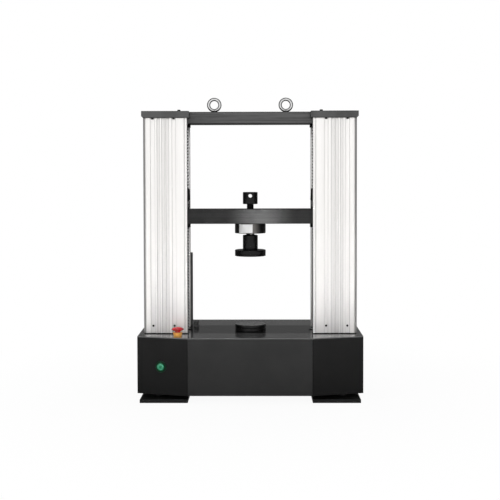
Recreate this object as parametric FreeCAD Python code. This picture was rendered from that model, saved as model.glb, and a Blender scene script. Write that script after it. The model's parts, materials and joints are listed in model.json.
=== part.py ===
import FreeCAD, Part
import math
import os

V = FreeCAD.Vector

# All lengths are in millimetres. X runs to the right, Y to the back, Z up, and the floor is Z = 0.

# Base case
BASE_D = 400.0
BASE_H = 180.0
BASE_SIDE_GAP = 15.0
CORNER_INSET = 7.0
CORNER_SETBACK = 42.0
SHEET = 2.0
PANEL_FLANGE = 12.0
PANEL_SEAM = 0.4
DECK_T = 3.0
DECK_EDGE_R = 1.2
PAN_GAP = 0.3
PAN_EDGE_H = 14.0

# Feet
FOOT_T = 11.0
FOOT_INSET_Y = 14.0
FOOT_SIDE_INSET = 10.0
FOOT_INNER_SHIFT = 5.0
FOOT_EDGE_R = 1.0
SPACER_H = 14.0
SPACER_R = 15.0
FOOT_BOLT_R = 4.0
FOOT_BOLT_HEAD_R = 7.0
FOOT_BOLT_HEAD_H = 5.0
FOOT_BOLT_SUNK = 1.0
FOOT_BOLT_INSET_Y = 66.0

# Load axis and table
LOAD_Y = -34.0
TABLE_SIDE_INSET = 20.0
TABLE_AHEAD = 68.0
TABLE_D = 164.0
TABLE_T = 45.0
TABLE_EDGE_R = 1.0
TABLE_GAP = 0.5

# Steel tubes that carry the table in the base
TUBE_OUT = 92.0
TUBE_W = 48.0
TUBE_WALL = 6.0
TUBE_FRONT_GAP = 66.0
TUBE_BACK_GAP = 15.0

# Column covers
TEST_W = 400.0
COVER_W = 140.0
COVER_D = 156.0
COVER_H = 684.5
COVER_WALL = 6.0
COVER_CORNER_R = 13.0
COVER_SLOT = 106.0
GASKET_T = 2.5
GASKET_INSET = 1.0

# Flutes of the cover, each as (start, width, depth) from the outer corner
FLUTES = [(45.0, 8.5, 2.0), (60.0, 9.5, 2.0), (73.0, 9.5, 2.0)]
SCREW_GROOVES = [(24.0, 14.0, 2.8), (92.5, 12.0, 2.8)]
EDGE_LINE = (COVER_W - 9.0, 2.4, 1.2)
FLUTE_SLOPE = 1.2
PORT_R = 6.0
PORT_HOLE_R = 2.5

# Caps
CAP_T = 21.5
CAP_IN_OVERHANG = 7.0
CAP_OUT_OVERHANG = 4.0
CAP_FRONT_OVERHANG = 5.0
CAP_BEVEL = 5.0
CAP_WALL = 4.0
CAP_RIM = 14.0
CAP_EDGE_R = 1.5

# Top beam
BEAM_H = 37.0
BEAM_D = 102.0
BEAM_BELOW_CAP = 1.0
BEAM_CAP_GAP = 0.5
BEAM_END_GAP = 8.0
BEAM_EDGE_R = 1.5

# Eye bolts
EYE_X = 116.0
EYE_RING_R = 18.25
EYE_WIRE_R = 5.25
EYE_SIDES = 8
EYE_HEIGHT = 49.0
EYE_COLLAR_R = 12.0
EYE_COLLAR_H = 2.5
EYE_SHANK_R = 5.0
EYE_SHANK_L = 17.0
EYE_SHANK_GAP = 0.05

# Guide columns
GUIDE_OUT = 85.0
GUIDE_R = 20.0
GUIDE_SEAT = 30.0
GUIDE_END_R = 12.0
GUIDE_NUT_AF = 36.0
GUIDE_NUT_H = 12.0
GUIDE_END_PROUD = 2.0
FIT_GAP = 0.05

# Ball screws
SCREW_OUT = 15.0
SCREW_R = 16.0
JOURNAL_R = 10.0
SCREW_END_GAP = 4.0

# Screw bearings
LOWER_HOUSING_R = 26.0
LOWER_FLANGE_R = 38.0
LOWER_FLANGE_T = 12.0
LOWER_HOUSING_DROP = 85.0
LOWER_HOUSING_BELOW_DECK = 2.0
UPPER_HOUSING_R = 22.0
UPPER_HOUSING_H = 11.0
UPPER_HUB_R = 17.0
UPPER_HUB_H = 8.0
JOURNAL_SHORT = 1.0

# Crosshead, at its place in the photograph
CROSSHEAD_Z = 554.2
CROSSHEAD_H = 46.5
CROSSHEAD_D = 100.0
CROSSHEAD_END_GAP = 10.0
CROSSHEAD_EDGE_R = 1.5
NUT_WALL = 5.0
NUT_FLANGE_R = 34.0
NUT_FLANGE_T = 12.0
NUT_BELOW = 13.0
NUT_NECK_WALL = 1.8
NUT_NECK_H = 6.0
NUT_HUB_WALL = 3.0
NUT_HUB_TOP = 26.0
NUT_SCREW_GAP = 0.4
BOOT_BASE_WALL = 3.8
BOOT_TOP_WALL = 1.6
BOOT_H = 40.0
BOOT_LIP_H = 3.0
BUSH_WALL = 7.0
BUSH_FLANGE = 4.0
BUSH_FLANGE_T = 8.0
BUSH_PROUD = 6.0

# Load string
CELL_R = 50.0
CELL_H = 32.0
CELL_EDGE = 1.5
CELL_GROOVE_INSET = 17.0
CELL_GROOVE_W = 4.0
CELL_GROOVE_DEPTH = 5.0
CELL_NECK_R = 13.5
CELL_NECK_H = 6.3
CELL_BOLT_INSET = 8.5
CELL_BOLT_COUNT = 6
CELL_BOLT_R = 3.0
CELL_BOLT_HEAD_R = 5.0
CELL_BOLT_HEAD_H = 6.0
CELL_BOLT_DEPTH = 12.0
CELL_BOLT_SUNK = 1.0
STEM_R = 24.3
STEM_H = 48.0
STEM_EDGE = 2.0
SPIGOT_R = 10.0
SPIGOT_L = 10.0
END_CLEARANCE = 1.0
PLATEN_R = 50.0
PLATEN_EDGE = 1.5
UPPER_PLATEN_T = 20.0
LOWER_PLATEN_T = 21.5
ADAPTER_R = 24.0
ADAPTER_H = 39.0
ADAPTER_NECK_R = 11.0
ADAPTER_NECK_H = 15.7
ADAPTER_EDGE = 1.5
ADAPTER_SOCKET_R = 12.0
ADAPTER_SOCKET_DEPTH = 26.0
ADAPTER_PIN_R = 6.0
ADAPTER_PIN_BELOW_TOP = 12.4
ADAPTER_SHANK_GAP = 0.3

# Belt drive
PULLEY_PLANE_Z = 46.0
BELT_W = 16.0
BELT_T = 3.0
BELT_GAP = 0.3
BELT_SIDE_GAP = 0.8
PULLEY_FLANGE_T = 1.6
PULLEY_FLANGE_PROUD = 4.5
TOOTH_PITCH = 10.0
SCREW_PULLEY_TEETH = 28
MOTOR_PULLEY_TEETH = 14
TOOTH_DEPTH = 2.5
PULLEY_HUB_R = 16.0
PULLEY_HUB_H = 7.0
SHAFT_BELOW_BELT = 4.0

# Motor
MOTOR_BEHIND_TABLE = 56.0
MOTOR_W = 90.0
MOTOR_BODY_H = 88.0
MOTOR_CORNER_R = 9.0
MOTOR_END_W = 78.0
MOTOR_END_H = 22.0
MOTOR_SHAFT_R = 9.5
MOTOR_SHAFT_IN = 30.0
MOTOR_PLUG_W = 26.0
MOTOR_PLUG_D = 14.0
MOTOR_PLUG_H = 20.0
MOTOR_PLUG_UP = 1.0
BRACKET_T = 8.0
BRACKET_W = 140.0
BRACKET_DEPTH = 108.0
BRACKET_PULLEY_GAP = 8.0
BRACKET_HOLE_R = 26.0
BRACKET_DECK_GAP = 1.0
WEB_END_H = 14.0
WEB_TOP_W = 24.0
WEB_TOP_UP = 20.0

# Drive unit
DRIVE_X0 = 20.0
DRIVE_W = 130.0
DRIVE_FRONT_GAP = 14.0
DRIVE_D = 78.0
DRIVE_H = 120.0
DRIVE_FINS = 10
DRIVE_FIN_DEPTH = 18.0
DRIVE_FIN_T = 4.0
DRIVE_FOOT_H = 8.0

# Emergency stop
ESTOP_OUT = 28.0
ESTOP_FRONT_GAP = 44.0
ESTOP_COLLAR_R = 12.5
ESTOP_COLLAR_TOP_R = 15.0
ESTOP_COLLAR_H = 12.0
ESTOP_COLLAR_FOOT_H = 2.0
ESTOP_BARREL_DROP = 4.0
ESTOP_WELL = 1.0
ESTOP_BARREL_R = 11.0
ESTOP_BLOCK_W = 30.0
ESTOP_BLOCK_H = 34.0
ESTOP_STEM_R = 8.0
ESTOP_TRAVEL = 4.0
ESTOP_HEAD_R = 20.0
ESTOP_HEAD_Z = 16.6
ESTOP_HEAD_H = 13.4
ESTOP_PIN_R = 4.0
ESTOP_PIN_BELOW_TOP = 4.0
ESTOP_UNDERCUT = 7.0
ESTOP_RIM = [(3.0, 2.6), (0.4, 4.6), (0.0, 5.3), (0.8, 6.2)]
ESTOP_DOME = [(4.0, 4.2), (9.0, 1.4), (14.0, 0.3)]
PLUNGER_GAP = 0.05
END_STOP_GAP = 0.3

# Power button
POWER_OUT = 79.0
POWER_Z = 112.4
POWER_BEZEL_R = 18.0
POWER_BEZEL_H = 3.5
POWER_BARREL_R = 11.0
POWER_BARREL_L = 16.0
POWER_BLOCK_W = 26.0
POWER_BLOCK_L = 20.0
POWER_CAP_R = 11.5
POWER_CAP_PROUD = 2.6
POWER_CAP_STEM_R = 6.0
POWER_TRAVEL = 2.0
POWER_CAP_GAP = 0.3
POWER_CAP_UNDER = 0.7
POWER_WELL = 8.0
POWER_SEAT_H = 0.5
POWER_LENS_EDGE = [(0.0, 1.4), (1.6, 0.4), (5.0, 0.0)]
HOLE_GAP = 0.2

# Control box behind the left column
CONTROL_IN = 1.0
CONTROL_W = 132.0
CONTROL_FRONT_GAP = 3.0
CONTROL_D = 96.0
CONTROL_H = 241.0
CONTROL_EDGE_R = 8.0
CONTROL_TOP_R = 3.0
CONNECTOR_IN = 18.0
CONNECTOR_BACK = [74.0, 100.0]
# Outline of a connector as (radius, height)
CONNECTOR_STEPS = [(9.0, 0.0), (9.0, 4.0), (6.5, 4.0), (6.5, 12.0), (8.0, 12.0), (8.0, 25.0)]

# Rear panel
INLET_OUT = 40.0
INLET_Z = 70.0
INLET_W = 50.0
INLET_H = 30.0
INLET_FLANGE = 5.0
INLET_DEPTH = 24.0
INLET_FLANGE_T = 2.0
INLET_WALL = 2.0
INLET_RECESS = 17.0
BLADE_PLACES = [(-7.0, -1.5), (0.0, 2.0), (7.0, -1.5)]
BLADE_T = 2.0
BLADE_H = 4.0
BLADE_SUNK = 2.0
PORT_X = [110.0, 150.0, 185.0]
PORT_Z = 70.0
PORT_W = [24.0, 16.0, 16.0]
PORT_H = 13.0
PORT_DEPTH = 12.0
PORT_RECESS = 8.5
PORT_WALL = 1.2
VENT_COUNT = 9
VENT_PITCH = 9.0
VENT_W = 90.0
VENT_H = 4.0
VENT_X = -150.0
VENT_Z = 60.0

# Limit sensors
SENSOR_OUT = 75.0
SENSOR_W = 16.0
SENSOR_H = 26.0
SENSOR_D = 12.0
SENSOR_GAP = 1.5
FLAG_W = 12.0
FLAG_H = 30.0
TRAVEL_DOWN = 218.0
TRAVEL_UP = 195.0

# Places and levels that follow
COVER_IN_X = 0.5 * TEST_W
COVER_OUT_X = COVER_IN_X + COVER_W
BASE_W = 2 * (COVER_OUT_X + BASE_SIDE_GAP)
FRONT_PANEL_W = TEST_W - 2 * CORNER_INSET
FOOT_IN_X = COVER_IN_X - FOOT_INNER_SHIFT
FOOT_OUT_X = 0.5 * BASE_W - FOOT_SIDE_INSET
FOOT_D = BASE_D - 2 * FOOT_INSET_Y
TABLE_W = BASE_W - 2 * TABLE_SIDE_INSET
TABLE_FRONT_Y = LOAD_Y - TABLE_AHEAD
TUBE_X = COVER_IN_X + TUBE_OUT
TUBE_FRONT_Y = -0.5 * BASE_D + TUBE_FRONT_GAP
TUBE_BACK_Y = 0.5 * BASE_D - TUBE_BACK_GAP
GUIDE_X = COVER_IN_X + GUIDE_OUT
SCREW_X = COVER_IN_X + SCREW_OUT
ESTOP_X = -COVER_IN_X - ESTOP_OUT
ESTOP_Y = -0.5 * BASE_D + ESTOP_FRONT_GAP
POWER_X = -COVER_IN_X - POWER_OUT
CONNECTOR_X = -COVER_IN_X + CONNECTOR_IN
INLET_X = COVER_IN_X + INLET_OUT
SENSOR_X = COVER_IN_X + SENSOR_OUT
PAN_Z = FOOT_T + SPACER_H
DECK_Z = PAN_Z + BASE_H
COVER_Z = DECK_Z + GASKET_T
COVER_TOP = COVER_Z + COVER_H
BEAM_TOP = COVER_TOP + CAP_T - BEAM_BELOW_CAP
BEAM_Z = BEAM_TOP - BEAM_H
TABLE_Z = DECK_Z - TABLE_T
TABLE_BACK_Y = TABLE_FRONT_Y + TABLE_D
MOTOR_Y = TABLE_BACK_Y + MOTOR_BEHIND_TABLE
CROSSHEAD_TOP = CROSSHEAD_Z + CROSSHEAD_H
COVER_FRONT_Y = LOAD_Y - 0.5 * COVER_D
COVER_BACK_Y = LOAD_Y + 0.5 * COVER_D
NUT_R = SCREW_R + NUT_WALL
BUSH_R = GUIDE_R + BUSH_WALL


def box(x0, x1, y0, y1, z0, z1):
    return Part.makeBox(x1 - x0, y1 - y0, z1 - z0, V(x0, y0, z0))


def rod(x, y, z0, z1, r):
    return Part.makeCylinder(r, z1 - z0, V(x, y, z0))


def prism(points, z0, z1):
    """A plan outline of (x, y) points, raised from z0 to z1."""
    corners = [V(x, y, z0) for x, y in points]
    wire = Part.makePolygon(corners + corners[:1])
    return Part.Face(wire).extrude(V(0, 0, z1 - z0))


def turned(x, y, profile):
    """A solid of revolution about the upright axis at (x, y), from (radius, z) points."""
    points = [V(x + r, y, z) for r, z in profile]
    wire = Part.makePolygon(points + points[:1])
    return Part.Face(wire).revolve(V(x, y, 0), V(0, 0, 1), 360)


def mirrored(shape):
    return shape.mirror(V(0, 0, 0), V(1, 0, 0))


def rounded_upright(shape, radius, keep):
    """Rounds the upright edges whose middle passes the test keep."""
    edges = []
    for edge in shape.Edges:
        ends = [v.Point for v in edge.Vertexes]
        if len(ends) == 2 and abs(ends[0].x - ends[1].x) < 1e-6 and abs(ends[0].y - ends[1].y) < 1e-6:
            if keep(edge.CenterOfMass):
                edges.append(edge)
    return shape.makeFillet(radius, edges)


def rounded_level(shape, radius, keep):
    """Rounds the level edges whose middle passes the test keep."""
    edges = []
    for edge in shape.Edges:
        zs = [v.Point.z for v in edge.Vertexes]
        if max(zs) - min(zs) < 1e-6 and keep(edge.CenterOfMass):
            edges.append(edge)
    return shape.makeFillet(radius, edges)


def hexagon(x, y, z0, z1, across):
    corner = across / math.sqrt(3.0)
    angles = [math.radians(60 * i) for i in range(6)]
    return prism([(x + corner * math.cos(a), y + corner * math.sin(a)) for a in angles], z0, z1)


def save(name, *solids):
    shape = solids[0] if len(solids) == 1 else Part.makeCompound(list(solids))
    shape.exportStep("parts/" + name + ".step")


# Base case

def case_outline(inset):
    """Plan corners of the case, moved in by inset, from the left end of the front panel to the right."""
    half_w = 0.5 * BASE_W
    half_d = 0.5 * BASE_D
    half_front = 0.5 * FRONT_PANEL_W
    corners = [
        (-half_front, -half_d),
        (half_front, -half_d),
        (half_w, -half_d + CORNER_SETBACK),
        (half_w, half_d),
        (-half_w, half_d),
        (-half_w, -half_d + CORNER_SETBACK),
    ]
    moved = []
    for i, corner in enumerate(corners):
        before = corners[i - 1]
        after = corners[(i + 1) % len(corners)]
        moved.append(mitre(before, corner, after, inset))
    return moved


def unit(a, b):
    length = math.hypot(b[0] - a[0], b[1] - a[1])
    return (b[0] - a[0]) / length, (b[1] - a[1]) / length


def mitre(before, corner, after, inset):
    """Where the two sides that meet at corner cross, once both are moved in by inset."""
    ax, ay = unit(before, corner)
    bx, by = unit(corner, after)
    turn = 1.0 + ax * bx + ay * by
    return corner[0] + inset * (-ay - by) / turn, corner[1] + inset * (ax + bx) / turn


def case_strip(side, near, far, z0, z1):
    """One side of the case outline, between two insets, with half a seam left free at each end."""
    outer = case_outline(near)
    inner = case_outline(far)
    j = (side + 1) % len(outer)
    ux, uy = unit(outer[side], outer[j])
    half = 0.5 * PANEL_SEAM
    points = [
        (outer[side][0] + ux * half, outer[side][1] + uy * half),
        (outer[j][0] - ux * half, outer[j][1] - uy * half),
        (inner[j][0] - ux * half, inner[j][1] - uy * half),
        (inner[side][0] + ux * half, inner[side][1] + uy * half),
    ]
    return prism(points, z0, z1)


def case_panel(side):
    """A wall of the case with the flange at its top that carries the deck cover."""
    under_deck = DECK_Z - DECK_T
    wall = case_strip(side, 0.0, SHEET, PAN_Z, under_deck)
    flange = case_strip(side, 0.0, PANEL_FLANGE, under_deck - SHEET, under_deck)
    return wall.fuse(flange).removeSplitter()


def power_axis():
    """Point on the face of the left corner panel, and the direction out of it."""
    corners = case_outline(0.0)
    outer, inner = corners[5], corners[0]
    ux, uy = unit(outer, inner)
    along = (POWER_X - outer[0]) / ux
    return V(POWER_X, outer[1] + along * uy, POWER_Z), V(uy, -ux, 0)


def base_pan():
    outer = prism(case_outline(SHEET + PAN_GAP), PAN_Z, PAN_Z + PAN_EDGE_H)
    inside = prism(case_outline(2 * SHEET + PAN_GAP), PAN_Z + SHEET, PAN_Z + PAN_EDGE_H)
    pan = outer.cut(inside)
    for x, y in foot_bolt_places():
        pan = pan.cut(rod(x, y, PAN_Z, PAN_Z + SHEET, FOOT_BOLT_R + HOLE_GAP))
    return pan


def left_corner_panel():
    place, out = power_axis()
    start = place - out * (2 * SHEET)
    hole = Part.makeCylinder(POWER_BARREL_R + HOLE_GAP, 4 * SHEET, start, out)
    return case_panel(5).cut(hole)


def rear_panel():
    panel = case_panel(3)
    y0 = 0.5 * BASE_D - 2 * SHEET
    y1 = 0.5 * BASE_D + SHEET
    w, h = inlet_half_sizes()
    panel = panel.cut(box(INLET_X - w - HOLE_GAP, INLET_X + w + HOLE_GAP, y0, y1,
                          INLET_Z - h - HOLE_GAP, INLET_Z + h + HOLE_GAP))
    for x, w in zip(PORT_X, PORT_W):
        panel = panel.cut(box(x - 0.5 * w, x + 0.5 * w, y0, y1, PORT_Z - 0.5 * PORT_H, PORT_Z + 0.5 * PORT_H))
    for i in range(VENT_COUNT):
        z = VENT_Z + i * VENT_PITCH
        panel = panel.cut(box(VENT_X - 0.5 * VENT_W, VENT_X + 0.5 * VENT_W, y0, y1, z, z + VENT_H))
    return panel


def deck_cover():
    plate = prism(case_outline(0.0), DECK_Z - DECK_T, DECK_Z)
    plate = rounded_level(plate, DECK_EDGE_R, lambda c: c.z > DECK_Z - 0.1)
    half = 0.5 * TABLE_W + TABLE_GAP
    opening = box(-half, half, TABLE_FRONT_Y - TABLE_GAP, TABLE_BACK_Y + TABLE_GAP, DECK_Z - DECK_T, DECK_Z)
    estop = rod(ESTOP_X, ESTOP_Y, DECK_Z - DECK_T, DECK_Z, ESTOP_BARREL_R + HOLE_GAP)
    return plate.cut(opening).cut(estop)


# Feet and frame

def foot_bolt_places():
    """Two bolts go up through each foot, its spacers and the pan into the steel tube."""
    end_y = 0.5 * FOOT_D - FOOT_BOLT_INSET_Y
    return [(side * TUBE_X, y) for side in (-1, 1) for y in (-end_y, end_y)]


def right_foot():
    foot = box(FOOT_IN_X, FOOT_OUT_X, -0.5 * FOOT_D, 0.5 * FOOT_D, 0.0, FOOT_T)
    foot = rounded_level(foot, FOOT_EDGE_R, lambda c: c.z > FOOT_T - 0.1)
    for x, y in foot_bolt_places():
        if x > 0:
            foot = foot.cut(rod(x, y, 0.0, FOOT_T, FOOT_BOLT_R + HOLE_GAP))
            foot = foot.cut(rod(x, y, 0.0, FOOT_BOLT_HEAD_H + FOOT_BOLT_SUNK, FOOT_BOLT_HEAD_R + HOLE_GAP))
    return foot


def foot_spacers():
    solids = []
    for x, y in foot_bolt_places():
        spacer = rod(x, y, FOOT_T, PAN_Z, SPACER_R)
        solids.append(spacer.cut(rod(x, y, FOOT_T, PAN_Z, FOOT_BOLT_R + HOLE_GAP)))
    return solids


def foot_bolts():
    solids = []
    for x, y in foot_bolt_places():
        head_z = FOOT_BOLT_HEAD_H + FOOT_BOLT_SUNK
        top = PAN_Z + SHEET + TUBE_WALL
        shank = rod(x, y, head_z, top, FOOT_BOLT_R)
        solids.append(shank.fuse(rod(x, y, FOOT_BOLT_SUNK, head_z, FOOT_BOLT_HEAD_R)))
    return solids


def right_base_tube():
    x0 = TUBE_X - 0.5 * TUBE_W
    z0 = PAN_Z + SHEET
    tube = box(x0, x0 + TUBE_W, TUBE_FRONT_Y, TUBE_BACK_Y, z0, TABLE_Z)
    hollow = box(x0 + TUBE_WALL, x0 + TUBE_W - TUBE_WALL, TUBE_FRONT_Y, TUBE_BACK_Y,
                 z0 + TUBE_WALL, TABLE_Z - TUBE_WALL)
    tube = tube.cut(hollow)
    for x, y in foot_bolt_places():
        if x > 0:
            tube = tube.cut(rod(x, y, z0, z0 + TUBE_WALL, FOOT_BOLT_R + HOLE_GAP))
    return tube


def table_beam():
    half = 0.5 * TABLE_W
    beam = box(-half, half, TABLE_FRONT_Y, TABLE_BACK_Y, TABLE_Z, DECK_Z)
    beam = rounded_level(beam, TABLE_EDGE_R, lambda c: c.z > DECK_Z - 0.1)
    for side in (-1, 1):
        beam = beam.cut(rod(side * GUIDE_X, LOAD_Y, DECK_Z - GUIDE_SEAT, DECK_Z, GUIDE_R + FIT_GAP))
        beam = beam.cut(rod(side * SCREW_X, LOAD_Y, TABLE_Z, DECK_Z, LOWER_HOUSING_R + FIT_GAP))
    return beam.cut(rod(0, LOAD_Y, DECK_Z - SPIGOT_L - END_CLEARANCE, DECK_Z, SPIGOT_R + FIT_GAP))


# Columns

def groove(start, width, depth, face_y, inward):
    """Plan outline of a groove in a cover's face: start and width run in from the outer corner."""
    x1 = COVER_OUT_X - start
    x0 = x1 - width
    s = FLUTE_SLOPE
    return [(x0, face_y - inward), (x1, face_y - inward), (x1, face_y),
            (x1 - s, face_y + inward * depth), (x0 + s, face_y + inward * depth), (x0, face_y)]


def right_column_cover():
    """The fluted extrusion: a rounded box, open along its inner side, with screw ports inside."""
    x0, x1 = COVER_IN_X, COVER_OUT_X
    y0, y1 = COVER_FRONT_Y, COVER_BACK_Y
    z0, z1 = COVER_Z, COVER_TOP
    body = box(x0, x1, y0, y1, z0, z1)
    body = rounded_upright(body, COVER_CORNER_R, lambda c: c.x > x1 - 1)
    hollow = box(x0 + COVER_WALL, x1 - COVER_WALL, y0 + COVER_WALL, y1 - COVER_WALL, z0, z1)
    hollow = rounded_upright(hollow, COVER_CORNER_R - COVER_WALL, lambda c: c.x > x1 - COVER_WALL - 1)
    for start, width, depth in SCREW_GROOVES:
        x = x1 - start - 0.5 * width
        for y in (y0 + COVER_WALL, y1 - COVER_WALL):
            hollow = hollow.cut(rod(x, y, z0, z1, PORT_R))
    body = body.cut(hollow)
    body = body.cut(box(x0, x0 + COVER_WALL, LOAD_Y - 0.5 * COVER_SLOT, LOAD_Y + 0.5 * COVER_SLOT, z0, z1))
    for face_y, inward in ((y0, 1), (y1, -1)):
        for start, width, depth in FLUTES + SCREW_GROOVES + [EDGE_LINE]:
            body = body.cut(prism(groove(start, width, depth, face_y, inward), z0, z1))
    for start, width, depth in SCREW_GROOVES:
        x = x1 - start - 0.5 * width
        for y in (y0 + COVER_WALL, y1 - COVER_WALL):
            body = body.cut(rod(x, y, z0, z1, PORT_HOLE_R))
    return body.removeSplitter()


def level_rod(x, z, y0, y1, r):
    """A cylinder that runs from front to back."""
    return Part.makeCylinder(r, y1 - y0, V(x, y0, z), V(0, 1, 0))


def right_gasket():
    """The seal between cover and deck follows the cover's wall, set in a little."""
    x0, x1 = COVER_IN_X + GASKET_INSET, COVER_OUT_X - GASKET_INSET
    y0, y1 = COVER_FRONT_Y + 3 * GASKET_INSET, COVER_BACK_Y - 3 * GASKET_INSET
    body = rounded_upright(box(x0, x1, y0, y1, DECK_Z, COVER_Z), COVER_CORNER_R, lambda c: c.x > x1 - 1)
    inner = COVER_WALL
    body = body.cut(box(x0 + inner, x1 - inner, y0 + inner, y1 - inner, DECK_Z, COVER_Z))
    slot = 0.5 * COVER_SLOT + GASKET_INSET
    return body.cut(box(x0, x0 + inner, LOAD_Y - slot, LOAD_Y + slot, DECK_Z, COVER_Z))


def cap_plan():
    x0 = COVER_IN_X - CAP_IN_OVERHANG
    x1 = COVER_OUT_X + CAP_OUT_OVERHANG
    return x0, x1, COVER_FRONT_Y - CAP_FRONT_OVERHANG, COVER_BACK_Y + CAP_FRONT_OVERHANG


def right_cap():
    """A hollow cap with a bevelled outer lower edge."""
    x0, x1, y0, y1 = cap_plan()
    z0, z1 = COVER_TOP, COVER_TOP + CAP_T
    outline = [V(x0, y0, z0), V(x1 - CAP_BEVEL, y0, z0), V(x1, y0, z0 + CAP_BEVEL), V(x1, y0, z1),
               V(x0, y0, z1)]
    body = Part.Face(Part.makePolygon(outline + outline[:1])).extrude(V(0, y1 - y0, 0))
    body = rounded_level(body, CAP_EDGE_R, lambda c: c.z > z1 - 0.1)
    hollow = box(x0 + CAP_RIM, x1 - CAP_RIM - CAP_BEVEL, y0 + CAP_RIM, y1 - CAP_RIM, z0, z1 - CAP_WALL)
    return body.cut(hollow)


def guide_columns():
    bottom = DECK_Z - GUIDE_SEAT
    top = COVER_TOP + GUIDE_NUT_H + GUIDE_END_PROUD
    profile = [(0, bottom), (GUIDE_R, bottom), (GUIDE_R, BEAM_Z), (GUIDE_END_R, BEAM_Z),
               (GUIDE_END_R, top), (0, top)]
    guide = turned(GUIDE_X, LOAD_Y, profile)
    return [guide, mirrored(guide)]


def guide_nuts():
    nut = hexagon(GUIDE_X, LOAD_Y, COVER_TOP, COVER_TOP + GUIDE_NUT_H, GUIDE_NUT_AF)
    nut = nut.cut(rod(GUIDE_X, LOAD_Y, COVER_TOP, COVER_TOP + GUIDE_NUT_H, GUIDE_END_R + FIT_GAP))
    return [nut, mirrored(nut)]


def top_beam():
    """Full height between the caps, and a lower tongue that runs into each column under its cap."""
    y0, y1 = LOAD_Y - 0.5 * BEAM_D, LOAD_Y + 0.5 * BEAM_D
    half = COVER_IN_X - CAP_IN_OVERHANG - BEAM_CAP_GAP
    beam = box(-half, half, y0, y1, BEAM_Z, BEAM_TOP)
    beam = beam.makeFillet(BEAM_EDGE_R, [e for e in beam.Edges if abs(e.CenterOfMass.x) < 1])
    for side in (-1, 1):
        x0, x1 = sorted((side * half, side * (COVER_OUT_X - COVER_WALL - BEAM_END_GAP)))
        beam = beam.fuse(box(x0, x1, y0, y1, BEAM_Z, COVER_TOP))
    beam = beam.removeSplitter()
    for side in (-1, 1):
        beam = beam.cut(rod(side * GUIDE_X, LOAD_Y, BEAM_Z, COVER_TOP, GUIDE_END_R + FIT_GAP))
        beam = beam.cut(rod(side * SCREW_X, LOAD_Y, BEAM_Z, BEAM_Z + UPPER_HUB_H, UPPER_HUB_R + FIT_GAP))
        eye_end = BEAM_TOP - EYE_SHANK_L - END_CLEARANCE
        beam = beam.cut(rod(side * EYE_X, LOAD_Y, eye_end, BEAM_TOP, EYE_SHANK_R + EYE_SHANK_GAP))
    return beam


def eye_ring(ring_z):
    """Ring of the eye, turned from a section with eight sides and stood upright."""
    angles = [2 * math.pi * (i + 0.5) / EYE_SIDES for i in range(EYE_SIDES)]
    ring = turned(0, 0, [(EYE_RING_R + EYE_WIRE_R * math.cos(a), EYE_WIRE_R * math.sin(a)) for a in angles])
    ring.rotate(V(0, 0, 0), V(1, 0, 0), 90)
    ring.translate(V(EYE_X, LOAD_Y, ring_z))
    return ring


def right_eye_bolt():
    """Forged lifting eye: a ring that stands on a collar, with its shank in the beam."""
    ring_z = BEAM_TOP + EYE_HEIGHT - EYE_RING_R - EYE_WIRE_R
    neck_z = ring_z - EYE_RING_R
    profile = [(0, BEAM_TOP - EYE_SHANK_L), (EYE_SHANK_R, BEAM_TOP - EYE_SHANK_L), (EYE_SHANK_R, BEAM_TOP),
               (EYE_COLLAR_R, BEAM_TOP), (EYE_COLLAR_R, BEAM_TOP + EYE_COLLAR_H), (EYE_WIRE_R, neck_z),
               (0, neck_z)]
    return eye_ring(ring_z).fuse(turned(EYE_X, LOAD_Y, profile)).removeSplitter()


# Drive

def teeth_radius(count):
    return 0.5 * count * TOOTH_PITCH / math.pi


def toothed_wheel(x, y, z0, z1, count):
    """A belt pulley: a ring of straight teeth between two flanges."""
    tip = teeth_radius(count)
    root = tip - TOOTH_DEPTH
    step = 2 * math.pi / count
    points = []
    for i in range(count):
        a = i * step
        for share, r in ((-0.30, tip), (0.30, tip), (0.40, root), (0.60, root)):
            points.append((x + r * math.cos(a + share * step), y + r * math.sin(a + share * step)))
    wheel = prism(points, z0, z1)
    rim = root + PULLEY_FLANGE_PROUD
    wheel = wheel.fuse(rod(x, y, z0 - PULLEY_FLANGE_T, z0, rim))
    return wheel.fuse(rod(x, y, z1, z1 + PULLEY_FLANGE_T, rim)).removeSplitter()


def belt_levels():
    return PULLEY_PLANE_Z, PULLEY_PLANE_Z + BELT_W + 2 * BELT_SIDE_GAP


def screw_pulley():
    z0, z1 = belt_levels()
    top = z1 + PULLEY_FLANGE_T + PULLEY_HUB_H
    wheel = toothed_wheel(SCREW_X, LOAD_Y, z0, z1, SCREW_PULLEY_TEETH)
    wheel = wheel.fuse(rod(SCREW_X, LOAD_Y, z1, top, PULLEY_HUB_R)).removeSplitter()
    return wheel.cut(rod(SCREW_X, LOAD_Y, z0 - PULLEY_FLANGE_T, top, JOURNAL_R + FIT_GAP))


def motor_pulley():
    """The motor's pulley and the end of its shaft."""
    z0, z1 = belt_levels()
    wheel = toothed_wheel(0.0, MOTOR_Y, z0, z1, MOTOR_PULLEY_TEETH)
    shaft = rod(0.0, MOTOR_Y, z0 - SHAFT_BELOW_BELT, motor_foot_z() + MOTOR_SHAFT_IN, MOTOR_SHAFT_R)
    return wheel.fuse(shaft).removeSplitter()


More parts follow.
